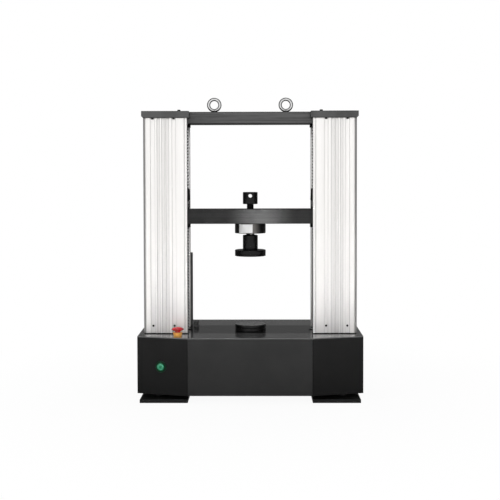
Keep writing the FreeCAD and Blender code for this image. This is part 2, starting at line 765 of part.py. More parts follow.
def hull_loop(circles, extra):
    """Face of a belt run round circles, given anticlockwise as (x, y, r), all widened by extra."""
    edges = []
    ends = []
    n = len(circles)
    for i in range(n):
        x0, y0, r0 = circles[i]
        x1, y1, r1 = circles[(i + 1) % n]
        gap = math.hypot(x1 - x0, y1 - y0)
        angle = math.atan2(y1 - y0, x1 - x0) - math.acos((r0 - r1) / gap)
        c, s = math.cos(angle), math.sin(angle)
        ends.append((V(x0 + (r0 + extra) * c, y0 + (r0 + extra) * s, 0),
                     V(x1 + (r1 + extra) * c, y1 + (r1 + extra) * s, 0), angle))
    for i in range(n):
        leave, arrive, angle = ends[i]
        edges.append(Part.LineSegment(leave, arrive).toShape())
        x, y, r = circles[(i + 1) % n]
        next_leave, _, next_angle = ends[(i + 1) % n]
        turn = (next_angle - angle) % (2 * math.pi)
        middle = angle + 0.5 * turn
        half_way = V(x + (r + extra) * math.cos(middle), y + (r + extra) * math.sin(middle), 0)
        edges.append(Part.Arc(arrive, half_way, next_leave).toShape())
    return Part.Face(Part.Wire(edges))


def drive_belt():
    big = teeth_radius(SCREW_PULLEY_TEETH)
    small = teeth_radius(MOTOR_PULLEY_TEETH)
    circles = [(-SCREW_X, LOAD_Y, big), (SCREW_X, LOAD_Y, big), (0.0, MOTOR_Y, small)]
    outer = hull_loop(circles, BELT_GAP + BELT_T)
    inner = hull_loop(circles, BELT_GAP)
    belt = outer.extrude(V(0, 0, BELT_W)).cut(inner.extrude(V(0, 0, BELT_W)))
    belt.translate(V(0, 0, PULLEY_PLANE_Z + BELT_SIDE_GAP))
    return belt


def right_screw():
    """Ball screw: full size between the bearings, with a turned journal at each end."""
    bottom = belt_levels()[0] - PULLEY_FLANGE_T
    low = DECK_Z + SCREW_END_GAP
    high = BEAM_Z - UPPER_HOUSING_H - SCREW_END_GAP
    top = BEAM_Z + UPPER_HUB_H - JOURNAL_SHORT
    profile = [(0, bottom), (JOURNAL_R, bottom), (JOURNAL_R, low), (SCREW_R, low), (SCREW_R, high),
               (JOURNAL_R, high), (JOURNAL_R, top), (0, top)]
    return turned(SCREW_X, LOAD_Y, profile)


def lower_bearings():
    """Cartridge under the table, with its body up through the table's bore."""
    top = DECK_Z - LOWER_HOUSING_BELOW_DECK
    bottom = TABLE_Z - LOWER_HOUSING_DROP
    flange = TABLE_Z - LOWER_FLANGE_T
    r = JOURNAL_R + FIT_GAP
    profile = [(r, bottom), (LOWER_HOUSING_R, bottom), (LOWER_HOUSING_R, flange), (LOWER_FLANGE_R, flange),
               (LOWER_FLANGE_R, TABLE_Z), (LOWER_HOUSING_R, TABLE_Z), (LOWER_HOUSING_R, top), (r, top)]
    housing = turned(SCREW_X, LOAD_Y, profile)
    return [housing, mirrored(housing)]


def upper_bearings():
    bottom = BEAM_Z - UPPER_HOUSING_H
    top = BEAM_Z + UPPER_HUB_H
    r = JOURNAL_R + FIT_GAP
    profile = [(r, bottom), (UPPER_HOUSING_R, bottom), (UPPER_HOUSING_R, BEAM_Z), (UPPER_HUB_R, BEAM_Z),
               (UPPER_HUB_R, top), (r, top)]
    housing = turned(SCREW_X, LOAD_Y, profile)
    return [housing, mirrored(housing)]


def motor_foot_z():
    """Upper face of the bracket plate, which the motor stands on."""
    return belt_levels()[1] + PULLEY_FLANGE_T + BRACKET_PULLEY_GAP + BRACKET_T


def motor():
    z0 = motor_foot_z()
    half = 0.5 * MOTOR_W
    body = box(-half, half, MOTOR_Y - half, MOTOR_Y + half, z0, z0 + MOTOR_BODY_H)
    body = rounded_upright(body, MOTOR_CORNER_R, lambda c: True)
    half = 0.5 * MOTOR_END_W
    z1 = z0 + MOTOR_BODY_H
    end = box(-half, half, MOTOR_Y - half, MOTOR_Y + half, z1, z1 + MOTOR_END_H)
    end = rounded_upright(end, MOTOR_CORNER_R, lambda c: True)
    plug = box(-0.5 * MOTOR_PLUG_W, 0.5 * MOTOR_PLUG_W, MOTOR_Y + half, MOTOR_Y + half + MOTOR_PLUG_D,
               z1 + MOTOR_PLUG_UP, z1 + MOTOR_PLUG_UP + MOTOR_PLUG_H)
    body = body.fuse(end).fuse(plug).removeSplitter()
    return body.cut(rod(0, MOTOR_Y, z0, z0 + MOTOR_SHAFT_IN + END_CLEARANCE, MOTOR_SHAFT_R + FIT_GAP))


def motor_bracket():
    """Angle bracket: a plate on the back of the table, a shelf under the motor and two webs."""
    z1 = motor_foot_z()
    z0 = z1 - BRACKET_T
    half = 0.5 * BRACKET_W
    y0 = TABLE_BACK_Y
    back = y0 + BRACKET_DEPTH
    bracket = box(-half, half, y0, y0 + BRACKET_T, z0, DECK_Z - DECK_T - BRACKET_DECK_GAP)
    bracket = bracket.fuse(box(-half, half, y0, back, z0, z1))
    for x in (-half, half - BRACKET_T):
        web = [V(x, y0, z0), V(x, back, z0), V(x, back, z0 + WEB_END_H),
               V(x, y0 + WEB_TOP_W, TABLE_Z + WEB_TOP_UP), V(x, y0, TABLE_Z + WEB_TOP_UP)]
        bracket = bracket.fuse(Part.Face(Part.makePolygon(web + web[:1])).extrude(V(BRACKET_T, 0, 0)))
    bracket = bracket.removeSplitter()
    return bracket.cut(rod(0, MOTOR_Y, z0, z1, BRACKET_HOLE_R))


def drive_unit():
    """Servo drive with the fins of its heat sink towards the middle of the case."""
    z0 = PAN_Z + SHEET
    y0 = -0.5 * BASE_D + SHEET + DRIVE_FRONT_GAP
    y1 = y0 + DRIVE_D
    body = box(DRIVE_X0, DRIVE_X0 + DRIVE_W, y0, y1, z0, z0 + DRIVE_H)
    pitch = (DRIVE_W - DRIVE_FIN_T) / DRIVE_FINS
    for i in range(DRIVE_FINS):
        x = DRIVE_X0 + DRIVE_FIN_T + i * pitch
        body = body.cut(box(x, x + pitch - DRIVE_FIN_T, y1 - DRIVE_FIN_DEPTH, y1,
                            z0 + DRIVE_FOOT_H, z0 + DRIVE_H))
    return body


# Crosshead and load string

def crosshead():
    half = COVER_OUT_X - COVER_WALL - CROSSHEAD_END_GAP
    y0, y1 = LOAD_Y - 0.5 * CROSSHEAD_D, LOAD_Y + 0.5 * CROSSHEAD_D
    bar = box(-half, half, y0, y1, CROSSHEAD_Z, CROSSHEAD_TOP)
    bar = bar.makeFillet(CROSSHEAD_EDGE_R, [e for e in bar.Edges if abs(e.CenterOfMass.x) < 1])
    for side in (-1, 1):
        x = side * SCREW_X
        bar = bar.cut(rod(x, LOAD_Y, CROSSHEAD_Z, CROSSHEAD_TOP, NUT_R + FIT_GAP))
        bar = bar.cut(rod(x, LOAD_Y, CROSSHEAD_TOP - NUT_FLANGE_T, CROSSHEAD_TOP, NUT_FLANGE_R + FIT_GAP))
        bar = bar.cut(rod(side * GUIDE_X, LOAD_Y, CROSSHEAD_Z, CROSSHEAD_TOP, BUSH_R + FIT_GAP))
    bar = bar.cut(rod(0, LOAD_Y, CROSSHEAD_Z, CROSSHEAD_TOP, ADAPTER_NECK_R + FIT_GAP))
    for x, y in cell_bolt_places():
        top = CROSSHEAD_Z + CELL_BOLT_DEPTH + END_CLEARANCE
        bar = bar.cut(rod(x, y, CROSSHEAD_Z, top, CELL_BOLT_R + FIT_GAP))
    return bar


def ball_nuts():
    """Flanged nut let into the crosshead, with its hub above and its body showing below."""
    r = SCREW_R + NUT_SCREW_GAP
    top = CROSSHEAD_TOP
    flange = top - NUT_FLANGE_T
    bottom = CROSSHEAD_Z - NUT_BELOW
    neck = SCREW_R + NUT_NECK_WALL
    hub = SCREW_R + NUT_HUB_WALL
    profile = [(r, bottom), (NUT_R, bottom), (NUT_R, flange), (NUT_FLANGE_R, flange), (NUT_FLANGE_R, top),
               (neck, top), (neck, top + NUT_NECK_H), (hub, top + NUT_NECK_H), (hub, top + NUT_HUB_TOP),
               (r, top + NUT_HUB_TOP)]
    nut = turned(SCREW_X, LOAD_Y, profile)
    return [nut, mirrored(nut)]


def nut_boots():
    """Tapered wiper on the nut's hub."""
    z0 = CROSSHEAD_TOP + NUT_HUB_TOP
    z1 = z0 + BOOT_H
    r = SCREW_R + NUT_SCREW_GAP
    slim = SCREW_R + BOOT_TOP_WALL
    wide = SCREW_R + BOOT_BASE_WALL
    profile = [(r, z0), (slim, z0), (slim, z0 + BOOT_LIP_H), (wide, z0 + BOOT_LIP_H),
               (wide, z0 + 2 * BOOT_LIP_H), (slim, z1), (r, z1)]
    boot = turned(SCREW_X, LOAD_Y, profile)
    return [boot, mirrored(boot)]


def guide_bushes():
    z0 = CROSSHEAD_Z - BUSH_FLANGE_T
    z1 = CROSSHEAD_TOP + BUSH_PROUD
    r = GUIDE_R + FIT_GAP
    flange = BUSH_R + BUSH_FLANGE
    profile = [(r, z0), (flange, z0), (flange, CROSSHEAD_Z), (BUSH_R, CROSSHEAD_Z), (BUSH_R, z1), (r, z1)]
    bush = turned(GUIDE_X, LOAD_Y, profile)
    return [bush, mirrored(bush)]


def cell_bolt_places():
    r = CELL_R - CELL_BOLT_INSET
    angles = [2 * math.pi * i / CELL_BOLT_COUNT for i in range(CELL_BOLT_COUNT)]
    return [(r * math.cos(a), LOAD_Y + r * math.sin(a)) for a in angles]


def load_cell():
    """Pancake load cell: outer ring with bolt holes, thinned web and a centre hub with a neck."""
    top = CROSSHEAD_Z
    bottom = top - CELL_H
    e = CELL_EDGE
    g1 = CELL_R - CELL_GROOVE_INSET
    g0 = g1 - CELL_GROOVE_W
    neck = bottom - CELL_NECK_H
    profile = [(0, neck - SPIGOT_L), (SPIGOT_R, neck - SPIGOT_L), (SPIGOT_R, neck), (CELL_NECK_R, neck),
               (CELL_NECK_R, bottom), (g0, bottom), (g0, bottom + CELL_GROOVE_DEPTH),
               (g1, bottom + CELL_GROOVE_DEPTH), (g1, bottom), (CELL_R - e, bottom),
               (CELL_R, bottom + e), (CELL_R, top - e), (CELL_R - e, top), (0, top)]
    cell = turned(0, LOAD_Y, profile)
    for x, y in cell_bolt_places():
        cell = cell.cut(rod(x, y, bottom, top, CELL_BOLT_R + FIT_GAP))
        cell = cell.cut(rod(x, y, bottom, bottom + CELL_BOLT_HEAD_H + CELL_BOLT_SUNK,
                            CELL_BOLT_HEAD_R + FIT_GAP))
    return cell


def load_cell_bolts():
    low = CROSSHEAD_Z - CELL_H + CELL_BOLT_SUNK
    head_top = low + CELL_BOLT_HEAD_H
    solids = []
    for x, y in cell_bolt_places():
        profile = [(0, low), (CELL_BOLT_HEAD_R, low), (CELL_BOLT_HEAD_R, head_top),
                   (CELL_BOLT_R, head_top), (CELL_BOLT_R, CROSSHEAD_Z + CELL_BOLT_DEPTH),
                   (0, CROSSHEAD_Z + CELL_BOLT_DEPTH)]
        solids.append(turned(x, y, profile))
    return solids


def stem_levels():
    top = CROSSHEAD_Z - CELL_H - CELL_NECK_H
    return top - STEM_H, top


def compression_stem():
    z0, z1 = stem_levels()
    e = STEM_EDGE
    r = SPIGOT_R + FIT_GAP
    bore = z1 - SPIGOT_L - END_CLEARANCE
    profile = [(0, z0 - SPIGOT_L), (SPIGOT_R, z0 - SPIGOT_L), (SPIGOT_R, z0), (STEM_R, z0), (STEM_R, z1 - e),
               (STEM_R - e, z1), (r, z1), (r, bore), (0, bore)]
    return turned(0, LOAD_Y, profile)


def upper_platen():
    z1 = stem_levels()[0]
    z0 = z1 - UPPER_PLATEN_T
    e = PLATEN_EDGE
    r = SPIGOT_R + FIT_GAP
    bore = z1 - SPIGOT_L - END_CLEARANCE
    profile = [(0, z0), (PLATEN_R - e, z0), (PLATEN_R, z0 + e), (PLATEN_R, z1 - e), (PLATEN_R - e, z1),
               (r, z1), (r, bore), (0, bore)]
    return turned(0, LOAD_Y, profile)


def lower_platen():
    z0 = DECK_Z
    z1 = z0 + LOWER_PLATEN_T
    e = PLATEN_EDGE
    profile = [(0, z0 - SPIGOT_L), (SPIGOT_R, z0 - SPIGOT_L), (SPIGOT_R, z0), (PLATEN_R - e, z0),
               (PLATEN_R, z0 + e), (PLATEN_R, z1 - e), (PLATEN_R - e, z1), (0, z1)]
    return turned(0, LOAD_Y, profile)


def upper_adapter():
    """Socket above the crosshead, with a cross pin hole and a shank down to the load cell."""
    neck = CROSSHEAD_TOP + ADAPTER_NECK_H
    top = neck + ADAPTER_H
    e = ADAPTER_EDGE
    profile = [(0, CROSSHEAD_Z + ADAPTER_SHANK_GAP), (ADAPTER_NECK_R, CROSSHEAD_Z + ADAPTER_SHANK_GAP),
               (ADAPTER_NECK_R, neck), (ADAPTER_R - e, neck), (ADAPTER_R, neck + e), (ADAPTER_R, top - e),
               (ADAPTER_R - e, top), (ADAPTER_SOCKET_R, top), (ADAPTER_SOCKET_R, top - ADAPTER_SOCKET_DEPTH),
               (0, top - ADAPTER_SOCKET_DEPTH)]
    body = turned(0, LOAD_Y, profile)
    z = top - ADAPTER_PIN_BELOW_TOP
    return body.cut(level_rod(0, z, LOAD_Y - ADAPTER_R - 1, LOAD_Y + ADAPTER_R + 1, ADAPTER_PIN_R))


# Buttons, boxes and sockets

def estop_collar():
    """Yellow collar, barrel through the deck and the contact block under it."""
    r = ESTOP_STEM_R + PLUNGER_GAP
    z = DECK_Z
    well = z - ESTOP_WELL
    block_z = z - DECK_T - ESTOP_BARREL_DROP
    profile = [(0, block_z), (ESTOP_BARREL_R, block_z), (ESTOP_BARREL_R, z), (ESTOP_COLLAR_R, z),
               (ESTOP_COLLAR_R, z + ESTOP_COLLAR_FOOT_H), (ESTOP_COLLAR_TOP_R, z + ESTOP_COLLAR_H),
               (r, z + ESTOP_COLLAR_H), (r, well), (0, well)]
    collar = turned(ESTOP_X, ESTOP_Y, profile)
    half = 0.5 * ESTOP_BLOCK_W
    block = box(ESTOP_X - half, ESTOP_X + half, ESTOP_Y - half, ESTOP_Y + half,
                block_z - ESTOP_BLOCK_H, block_z)
    return collar.fuse(block).removeSplitter()


def estop_plunger():
    low = DECK_Z - ESTOP_WELL + ESTOP_TRAVEL + END_STOP_GAP
    head = DECK_Z + ESTOP_HEAD_Z
    top = head + ESTOP_HEAD_H - ESTOP_PIN_BELOW_TOP
    profile = [(0, low), (ESTOP_STEM_R, low), (ESTOP_STEM_R, head), (ESTOP_PIN_R, head), (ESTOP_PIN_R, top),
               (0, top)]
    return turned(ESTOP_X, ESTOP_Y, profile)


def estop_head():
    """Mushroom head with a flared rim and a domed top, bored for the plunger's pin."""
    z0 = DECK_Z + ESTOP_HEAD_Z + PLUNGER_GAP
    z1 = DECK_Z + ESTOP_HEAD_Z + ESTOP_HEAD_H
    r = ESTOP_PIN_R + PLUNGER_GAP
    pin_top = z1 - ESTOP_PIN_BELOW_TOP + PLUNGER_GAP
    rim = [(ESTOP_HEAD_R - inset, z0 + rise) for inset, rise in ESTOP_RIM]
    dome = [(ESTOP_HEAD_R - inset, z1 - drop) for inset, drop in ESTOP_DOME]
    under = [(r, z0), (ESTOP_HEAD_R - ESTOP_UNDERCUT, z0)]
    profile = under + rim + dome + [(0, z1), (0, pin_top), (r, pin_top)]
    return turned(ESTOP_X, ESTOP_Y, profile)


def on_power_axis(shape):
    """Takes a shape modelled on the Z axis to the button's place on the corner panel."""
    place, out = power_axis()
    turn = FreeCAD.Rotation(V(0, 0, 1), out)
    shape.Placement = FreeCAD.Placement(place, turn)
    return shape


def power_bezel():
    """Bezel ring on the panel, barrel through it and the contact block behind."""
    cap_r = POWER_CAP_R + POWER_CAP_GAP
    stem_r = POWER_CAP_STEM_R + PLUNGER_GAP
    back = -POWER_BARREL_L
    profile = [(0, back), (POWER_BARREL_R, back), (POWER_BARREL_R, 0), (POWER_BEZEL_R, 0),
               (POWER_BEZEL_R, POWER_BEZEL_H - 1), (POWER_BEZEL_R - 1, POWER_BEZEL_H), (cap_r, POWER_BEZEL_H),
               (cap_r, POWER_SEAT_H), (stem_r, POWER_SEAT_H), (stem_r, -POWER_WELL), (0, -POWER_WELL)]
    body = turned(0, 0, profile)
    half = 0.5 * POWER_BLOCK_W
    block = box(-half, half, -half, half, back - POWER_BLOCK_L, back)
    return on_power_axis(body.fuse(block).removeSplitter())


def power_button():
    """Lens cap of the button with its stem."""
    top = POWER_BEZEL_H + POWER_CAP_PROUD
    under = POWER_BEZEL_H - POWER_CAP_UNDER
    low = POWER_TRAVEL + END_STOP_GAP - POWER_WELL
    lens = [(POWER_CAP_R - inset, top - drop) for inset, drop in POWER_LENS_EDGE]
    stem = [(0, low), (POWER_CAP_STEM_R, low), (POWER_CAP_STEM_R, under), (POWER_CAP_R, under)]
    profile = stem + lens + [(0, top)]
    return on_power_axis(turned(0, 0, profile))


def control_box():
    x1 = -COVER_IN_X + CONTROL_IN
    y0 = COVER_BACK_Y + CONTROL_FRONT_GAP
    body = box(x1 - CONTROL_W, x1, y0, y0 + CONTROL_D, DECK_Z, DECK_Z + CONTROL_H)
    body = rounded_upright(body, CONTROL_EDGE_R, lambda c: True)
    return rounded_level(body, CONTROL_TOP_R, lambda c: c.z > DECK_Z + CONTROL_H - 0.1)


def sensor_connectors():
    rises = [(r, DECK_Z + rise) for r, rise in CONNECTOR_STEPS]
    profile = [(0, rises[0][1])] + rises + [(0, rises[-1][1])]
    return [turned(CONNECTOR_X, LOAD_Y + back, profile) for back in CONNECTOR_BACK]


def inlet_half_sizes():
    return 0.5 * INLET_W - INLET_FLANGE, 0.5 * INLET_H - INLET_FLANGE


def mains_inlet():
    """Appliance inlet: flange behind the panel, body through it and three blades in the recess."""
    y1 = 0.5 * BASE_D
    w, h = inlet_half_sizes()
    body = box(INLET_X - w, INLET_X + w, y1 - INLET_DEPTH, y1, INLET_Z - h, INLET_Z + h)
    flange = box(INLET_X - 0.5 * INLET_W, INLET_X + 0.5 * INLET_W, y1 - SHEET - INLET_FLANGE_T, y1 - SHEET,
                 INLET_Z - 0.5 * INLET_H, INLET_Z + 0.5 * INLET_H)
    recess = box(INLET_X - w + INLET_WALL, INLET_X + w - INLET_WALL, y1 - INLET_RECESS, y1,
                 INLET_Z - h + INLET_WALL, INLET_Z + h - INLET_WALL)
    inlet = body.fuse(flange).cut(recess)
    for dx, dz in BLADE_PLACES:
        x, z = INLET_X + dx, INLET_Z + dz
        inlet = inlet.fuse(box(x - 0.5 * BLADE_T, x + 0.5 * BLADE_T, y1 - INLET_RECESS, y1 - BLADE_SUNK,
                               z - 0.5 * BLADE_H, z + 0.5 * BLADE_H))
    return inlet.removeSplitter()


def rear_ports():
    y1 = 0.5 * BASE_D
    high = 0.5 * PORT_H - HOLE_GAP
    solids = []
    for x, w in zip(PORT_X, PORT_W):
        half = 0.5 * w - HOLE_GAP
        shell = box(x - half, x + half, y1 - PORT_DEPTH, y1, PORT_Z - high, PORT_Z + high)
        cavity = box(x - half + PORT_WALL, x + half - PORT_WALL, y1 - PORT_RECESS, y1,
                     PORT_Z - high + PORT_WALL, PORT_Z + high - PORT_WALL)
        solids.append(shell.cut(cavity))
    return solids


def sensor_levels():
    """Middles of the two sensors, which the crosshead's flag reaches at the ends of its travel."""
    flag = CROSSHEAD_Z + 0.5 * CROSSHEAD_H
    return flag - TRAVEL_DOWN, flag + TRAVEL_UP


def limit_sensors():
    wall = COVER_BACK_Y - COVER_WALL
    solids = []
    for z in sensor_levels():
        solids.append(box(-SENSOR_X - 0.5 * SENSOR_W, -SENSOR_X + 0.5 * SENSOR_W, wall - SENSOR_D, wall,
                          z - 0.5 * SENSOR_H, z + 0.5 * SENSOR_H))
    return solids


def limit_flag():
    """Small angle on the back of the crosshead that passes close in front of the sensors."""
    y0 = LOAD_Y + 0.5 * CROSSHEAD_D
    y1 = COVER_BACK_Y - COVER_WALL - SENSOR_D - SENSOR_GAP
    z = CROSSHEAD_Z + 0.5 * CROSSHEAD_H
    half = 0.5 * FLAG_W
    return box(-SENSOR_X - half, -SENSOR_X + half, y0, y1, z - 0.5 * FLAG_H, z + 0.5 * FLAG_H)


def build():
    os.makedirs("parts", exist_ok=True)
    save("base_pan", base_pan())
    save("front_panel", case_panel(0))
    save("right_corner_panel", case_panel(1))
    save("right_side_panel", case_panel(2))
    save("rear_panel", rear_panel())
    save("left_side_panel", case_panel(4))
    save("left_corner_panel", left_corner_panel())
    save("deck_cover", deck_cover())
    save("table_beam", table_beam())
    save("foot_spacers", *foot_spacers())
    save("foot_bolts", *foot_bolts())
    pairs = {
        "foot": right_foot(),
        "base_frame": right_base_tube(),
        "column_cover": right_column_cover(),
        "cap": right_cap(),
        "eye_bolt": right_eye_bolt(),
        "screw": right_screw(),
        "screw_pulley": screw_pulley(),
    }
    for name, shape in pairs.items():
        save("right_" + name, shape)
        save("left_" + name, mirrored(shape))
    gasket = right_gasket()
    save("column_gaskets", gasket, mirrored(gasket))
    save("guide_columns", *guide_columns())
    save("guide_nuts", *guide_nuts())
    save("top_beam", top_beam())
    save("upper_bearings", *upper_bearings())
    save("lower_bearings", *lower_bearings())
    save("motor", motor())
    save("motor_bracket", motor_bracket())
    save("motor_pulley", motor_pulley())
    save("drive_belt", drive_belt())
    save("drive_unit", drive_unit())
    save("crosshead", crosshead())
    save("ball_nuts", *ball_nuts())
    save("nut_boots", *nut_boots())
    save("guide_bushes", *guide_bushes())
    save("load_cell", load_cell())
    save("load_cell_bolts", *load_cell_bolts())
    save("compression_stem", compression_stem())
    save("upper_platen", upper_platen())
    save("lower_platen", lower_platen())
    save("upper_adapter", upper_adapter())
    save("estop_collar", estop_collar())
    save("estop_plunger", estop_plunger())
    save("estop_head", estop_head())
    save("power_bezel", power_bezel())
    save("power_button", power_button())
    save("control_box", control_box())
    save("sensor_connectors", *sensor_connectors())
    save("mains_inlet", mains_inlet())
    save("rear_ports", *rear_ports())
    save("limit_sensors", *limit_sensors())
    save("limit_flag", limit_flag())


build()
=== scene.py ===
import json
import math

import bmesh
import bpy
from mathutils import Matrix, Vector


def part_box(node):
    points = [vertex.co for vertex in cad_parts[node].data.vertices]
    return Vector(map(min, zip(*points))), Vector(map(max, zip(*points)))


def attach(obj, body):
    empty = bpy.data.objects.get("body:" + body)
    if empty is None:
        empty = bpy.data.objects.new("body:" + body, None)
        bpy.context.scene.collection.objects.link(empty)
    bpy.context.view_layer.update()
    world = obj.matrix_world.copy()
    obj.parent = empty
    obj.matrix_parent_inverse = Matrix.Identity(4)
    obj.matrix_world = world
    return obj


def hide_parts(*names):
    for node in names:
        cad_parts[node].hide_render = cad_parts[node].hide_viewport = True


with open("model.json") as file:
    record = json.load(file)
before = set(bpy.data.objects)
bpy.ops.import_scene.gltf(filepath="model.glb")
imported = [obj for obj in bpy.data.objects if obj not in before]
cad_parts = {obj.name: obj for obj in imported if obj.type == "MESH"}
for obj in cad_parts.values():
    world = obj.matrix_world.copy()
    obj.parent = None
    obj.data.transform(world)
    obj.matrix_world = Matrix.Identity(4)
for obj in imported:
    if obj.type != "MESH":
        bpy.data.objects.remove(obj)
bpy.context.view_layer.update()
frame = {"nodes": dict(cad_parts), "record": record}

MM = 0.001
SIDES = (("left", -1), ("right", 1))

# Places read from the frame
DECK_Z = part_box("deck_cover")[1].z
LOAD_Y = 0.5 * (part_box("load_cell")[0].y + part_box("load_cell")[1].y)
CROSSHEAD_LOW, CROSSHEAD_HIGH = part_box("crosshead")
BEAM_LOW, BEAM_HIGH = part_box("top_beam")
CAP_LOW, CAP_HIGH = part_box("right_cap")
COVER_LOW, COVER_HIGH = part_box("right_column_cover")
SCREW_LOW, SCREW_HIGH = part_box("right_screw")
SCREW_X = 0.5 * (SCREW_LOW.x + SCREW_HIGH.x)
GUIDE_LOW, GUIDE_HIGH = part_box("guide_columns")
ESTOP_LOW, ESTOP_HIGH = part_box("estop_head")
ESTOP_X = 0.5 * (ESTOP_LOW.x + ESTOP_HIGH.x)
ESTOP_Y = 0.5 * (ESTOP_LOW.y + ESTOP_HIGH.y)

# Column covers, with grooves as (start, width, depth) in millimetres from the outer side inwards
COVER_WALL = 6 * MM
COVER_CORNER_R = 13 * MM
COVER_SLOT = 106 * MM
FLUTES = ((45, 8.5, 2.0), (60, 9.5, 2.0), (73, 9.5, 2.0))
SCREW_GROOVES = ((24, 14, 2.8), (92.5, 12, 2.8))
EDGE_LINE = (131, 2.4, 1.2)
COVER_SCREW_UP = 23 * MM

# Round parts
SCREW_R = 16 * MM
JOURNAL_R = 10 * MM
THREAD_LEAD = 10 * MM
THREAD_STEPS = 36
THREAD_FLOOR = SCREW_R - 1.8 * MM
THREAD_CREST = SCREW_R - 0.5 * MM
GUIDE_X = 285 * MM
GUIDE_R = 20 * MM
GUIDE_END_R = 12 * MM
EYE_X = 116 * MM
EYE_RING_R = 18.25 * MM
EYE_WIRE_R = 5.25 * MM
CELL_BOLT_RING = 41.5 * MM
CELL_BOLTS = 6

# Power button on the slanted corner: the middle of its seat, and the way that it faces
POWER_FACE = Vector((-0.279, -0.1777, 0.1124))
POWER_OUT = Vector((-0.25096, -0.96799, 0.0))


# Shader building

# Sockets of a Mix node for colours
MIX_FACTOR, MIX_FIRST, MIX_SECOND, MIX_RESULT = 0, 6, 7, 2


class Signal:
    """A value in a shader that can stand in a sum, and adds its own Math nodes."""

    def __init__(self, shader, socket):
        self.shader = shader
        self.socket = socket

    def maths(self, operation, first, second):
        return self.shader.node("ShaderNodeMath", {"operation": operation}, {0: first, 1: second})

    def __add__(self, other):
        return self.maths("ADD", self, other)

    def __radd__(self, other):
        return self.maths("ADD", other, self)

    def __sub__(self, other):
        return self.maths("SUBTRACT", self, other)

    def __rsub__(self, other):
        return self.maths("SUBTRACT", other, self)

    def __mul__(self, other):
        return self.maths("MULTIPLY", self, other)

    def __rmul__(self, other):
        return self.maths("MULTIPLY", other, self)


class Shader:
    """A node tree with one way to add a node to it."""

    def __init__(self, tree):
        self.tree = tree

    def join(self, socket, value):
        if isinstance(value, Signal):
            self.tree.links.new(value.socket, socket)
        else:
            socket.default_value = value

    def node(self, kind, settings=None, inputs=None, output=0):
        """Adds a node: its settings first, then a value or a link for each socket."""
        node = self.tree.nodes.new(kind)
        for key, value in (settings or {}).items():
            setattr(node, key, value)
        for key, value in (inputs or {}).items():
            self.join(node.inputs[key], value)
        return Signal(self, node.outputs[output])

    def mix(self, factor, first, second, blend="MIX"):
        """The first colour blended with the second by the factor."""
        settings = {"data_type": "RGBA", "blend_type": blend}
        inputs = {MIX_FACTOR: factor, MIX_FIRST: first, MIX_SECOND: second}
        return self.node("ShaderNodeMix", settings, inputs, MIX_RESULT)

    def place(self, stretch=(1, 1, 1)):
        """The point on the piece, with each axis stretched."""
        point = self.node("ShaderNodeTexCoord", output="Object")
        return self.node("ShaderNodeMapping", {}, {"Vector": point, "Scale": stretch})

    def along(self, axis):
        """The point's distance from the frame's origin along one axis."""
        return self.node("ShaderNodeSeparateXYZ", {}, {0: self.place()}, axis)

    def facing(self, axis):
        """How far the surface faces along one axis, from -1 to 1."""
        normal = self.node("ShaderNodeNewGeometry", output="Normal")
        return self.node("ShaderNodeSeparateXYZ", {}, {0: normal}, axis)

    def size_of(self, value):
        """The value without its sign."""
        return self.node("ShaderNodeMath", {"operation": "ABSOLUTE"}, {0: value})

    def noise(self, size, detail=2.0, stretch=(1, 1, 1)):
        """Noise whose grains are about size across, in metres, on the axes that aren't stretched."""
        inputs = {"Vector": self.place(stretch), "Scale": 1 / size, "Detail": detail}
        return self.node("ShaderNodeTexNoise", {}, inputs)

    def band(self, value, low, high):
        """0 below low and 1 above high, with a smooth step between."""
        inputs = {"Value": value, "From Min": low, "From Max": high}
        return self.node("ShaderNodeMapRange", {"interpolation_type": "SMOOTHSTEP"}, inputs)


class Finish(Shader):
    """The material of one finish, on the standard surface shader."""

    def __init__(self, name, colour, roughness, metallic=0.0, **constants):
        self.material = bpy.data.materials.new(name)
        self.material.use_nodes = True
        super().__init__(self.material.node_tree)
        self.surface = self.tree.nodes["Principled BSDF"]
        self.colour = (*colour, 1)
        self.set("Base Color", self.colour)
        self.set("Roughness", roughness)
        self.set("Metallic", metallic)
        for key, value in constants.items():
            self.set(key.replace("_", " "), value)

    def set(self, socket, value):
        self.join(self.surface.inputs[socket], value)

    def shade(self, factor, share):
        """Darkens what the colour is so far to the given share where the factor is 1."""
        self.colour = self.mix(factor, self.colour, (share, share, share, 1), "MULTIPLY")
        self.set("Base Color", self.colour)

    def tint(self, factor, colour):
        """Turns what the colour is so far to another one where the factor is 1."""
        self.colour = self.mix(factor, self.colour, (*colour, 1))
        self.set("Base Color", self.colour)

    def edge_shade_lines(self, low, high, width=1.4 * MM, share=0.4):
        """Painted shade: dark lines along the level edges of a piece that reaches from low to high."""
        z = self.along("Z")
        below = 1 - self.band(z, low + 0.5 * width, low + 1.5 * width)
        above = self.band(z, high - 1.5 * width, high - 0.5 * width)
        self.shade(below + above, share)

    def relief(self, height, depth, strength):
        """Bumps from a height of 0 to 1, depth in metres."""
        inputs = {"Height": height, "Distance": depth, "Strength": strength}
        self.set("Normal", self.node("ShaderNodeBump", {}, inputs))


# Dark tint of the mirror image at a glancing angle: painted shade along the rims of metal pieces
RIM_DARK = (0.15, 0.15, 0.15, 1)
# Stretches of noise: level streaks, and rings that follow one another up the axis
LEVEL_STREAKS = (0.2, 0.2, 14)
TURNED_RINGS = (0.15, 0.15, 26)
FINE_DEPTH = 0.02 * MM
# Share of the colour that is left at the columns' rounded corners, under painted shade
CORNER_SHADE = 0.4
# Height of the lower platen over the deck, in millimetres
PLATEN_TOP = 21.5


def grey(level, warmth=0.0):
    """A grey as it looks on screen, from 0 to 255, as a colour of light; warmth tips it to red."""
    share = level / 255
    light = share / 12.92 if share <= 0.04045 else ((share + 0.055) / 1.055) ** 2.4
    return light * (1 + warmth), light, light * (1 - warmth)


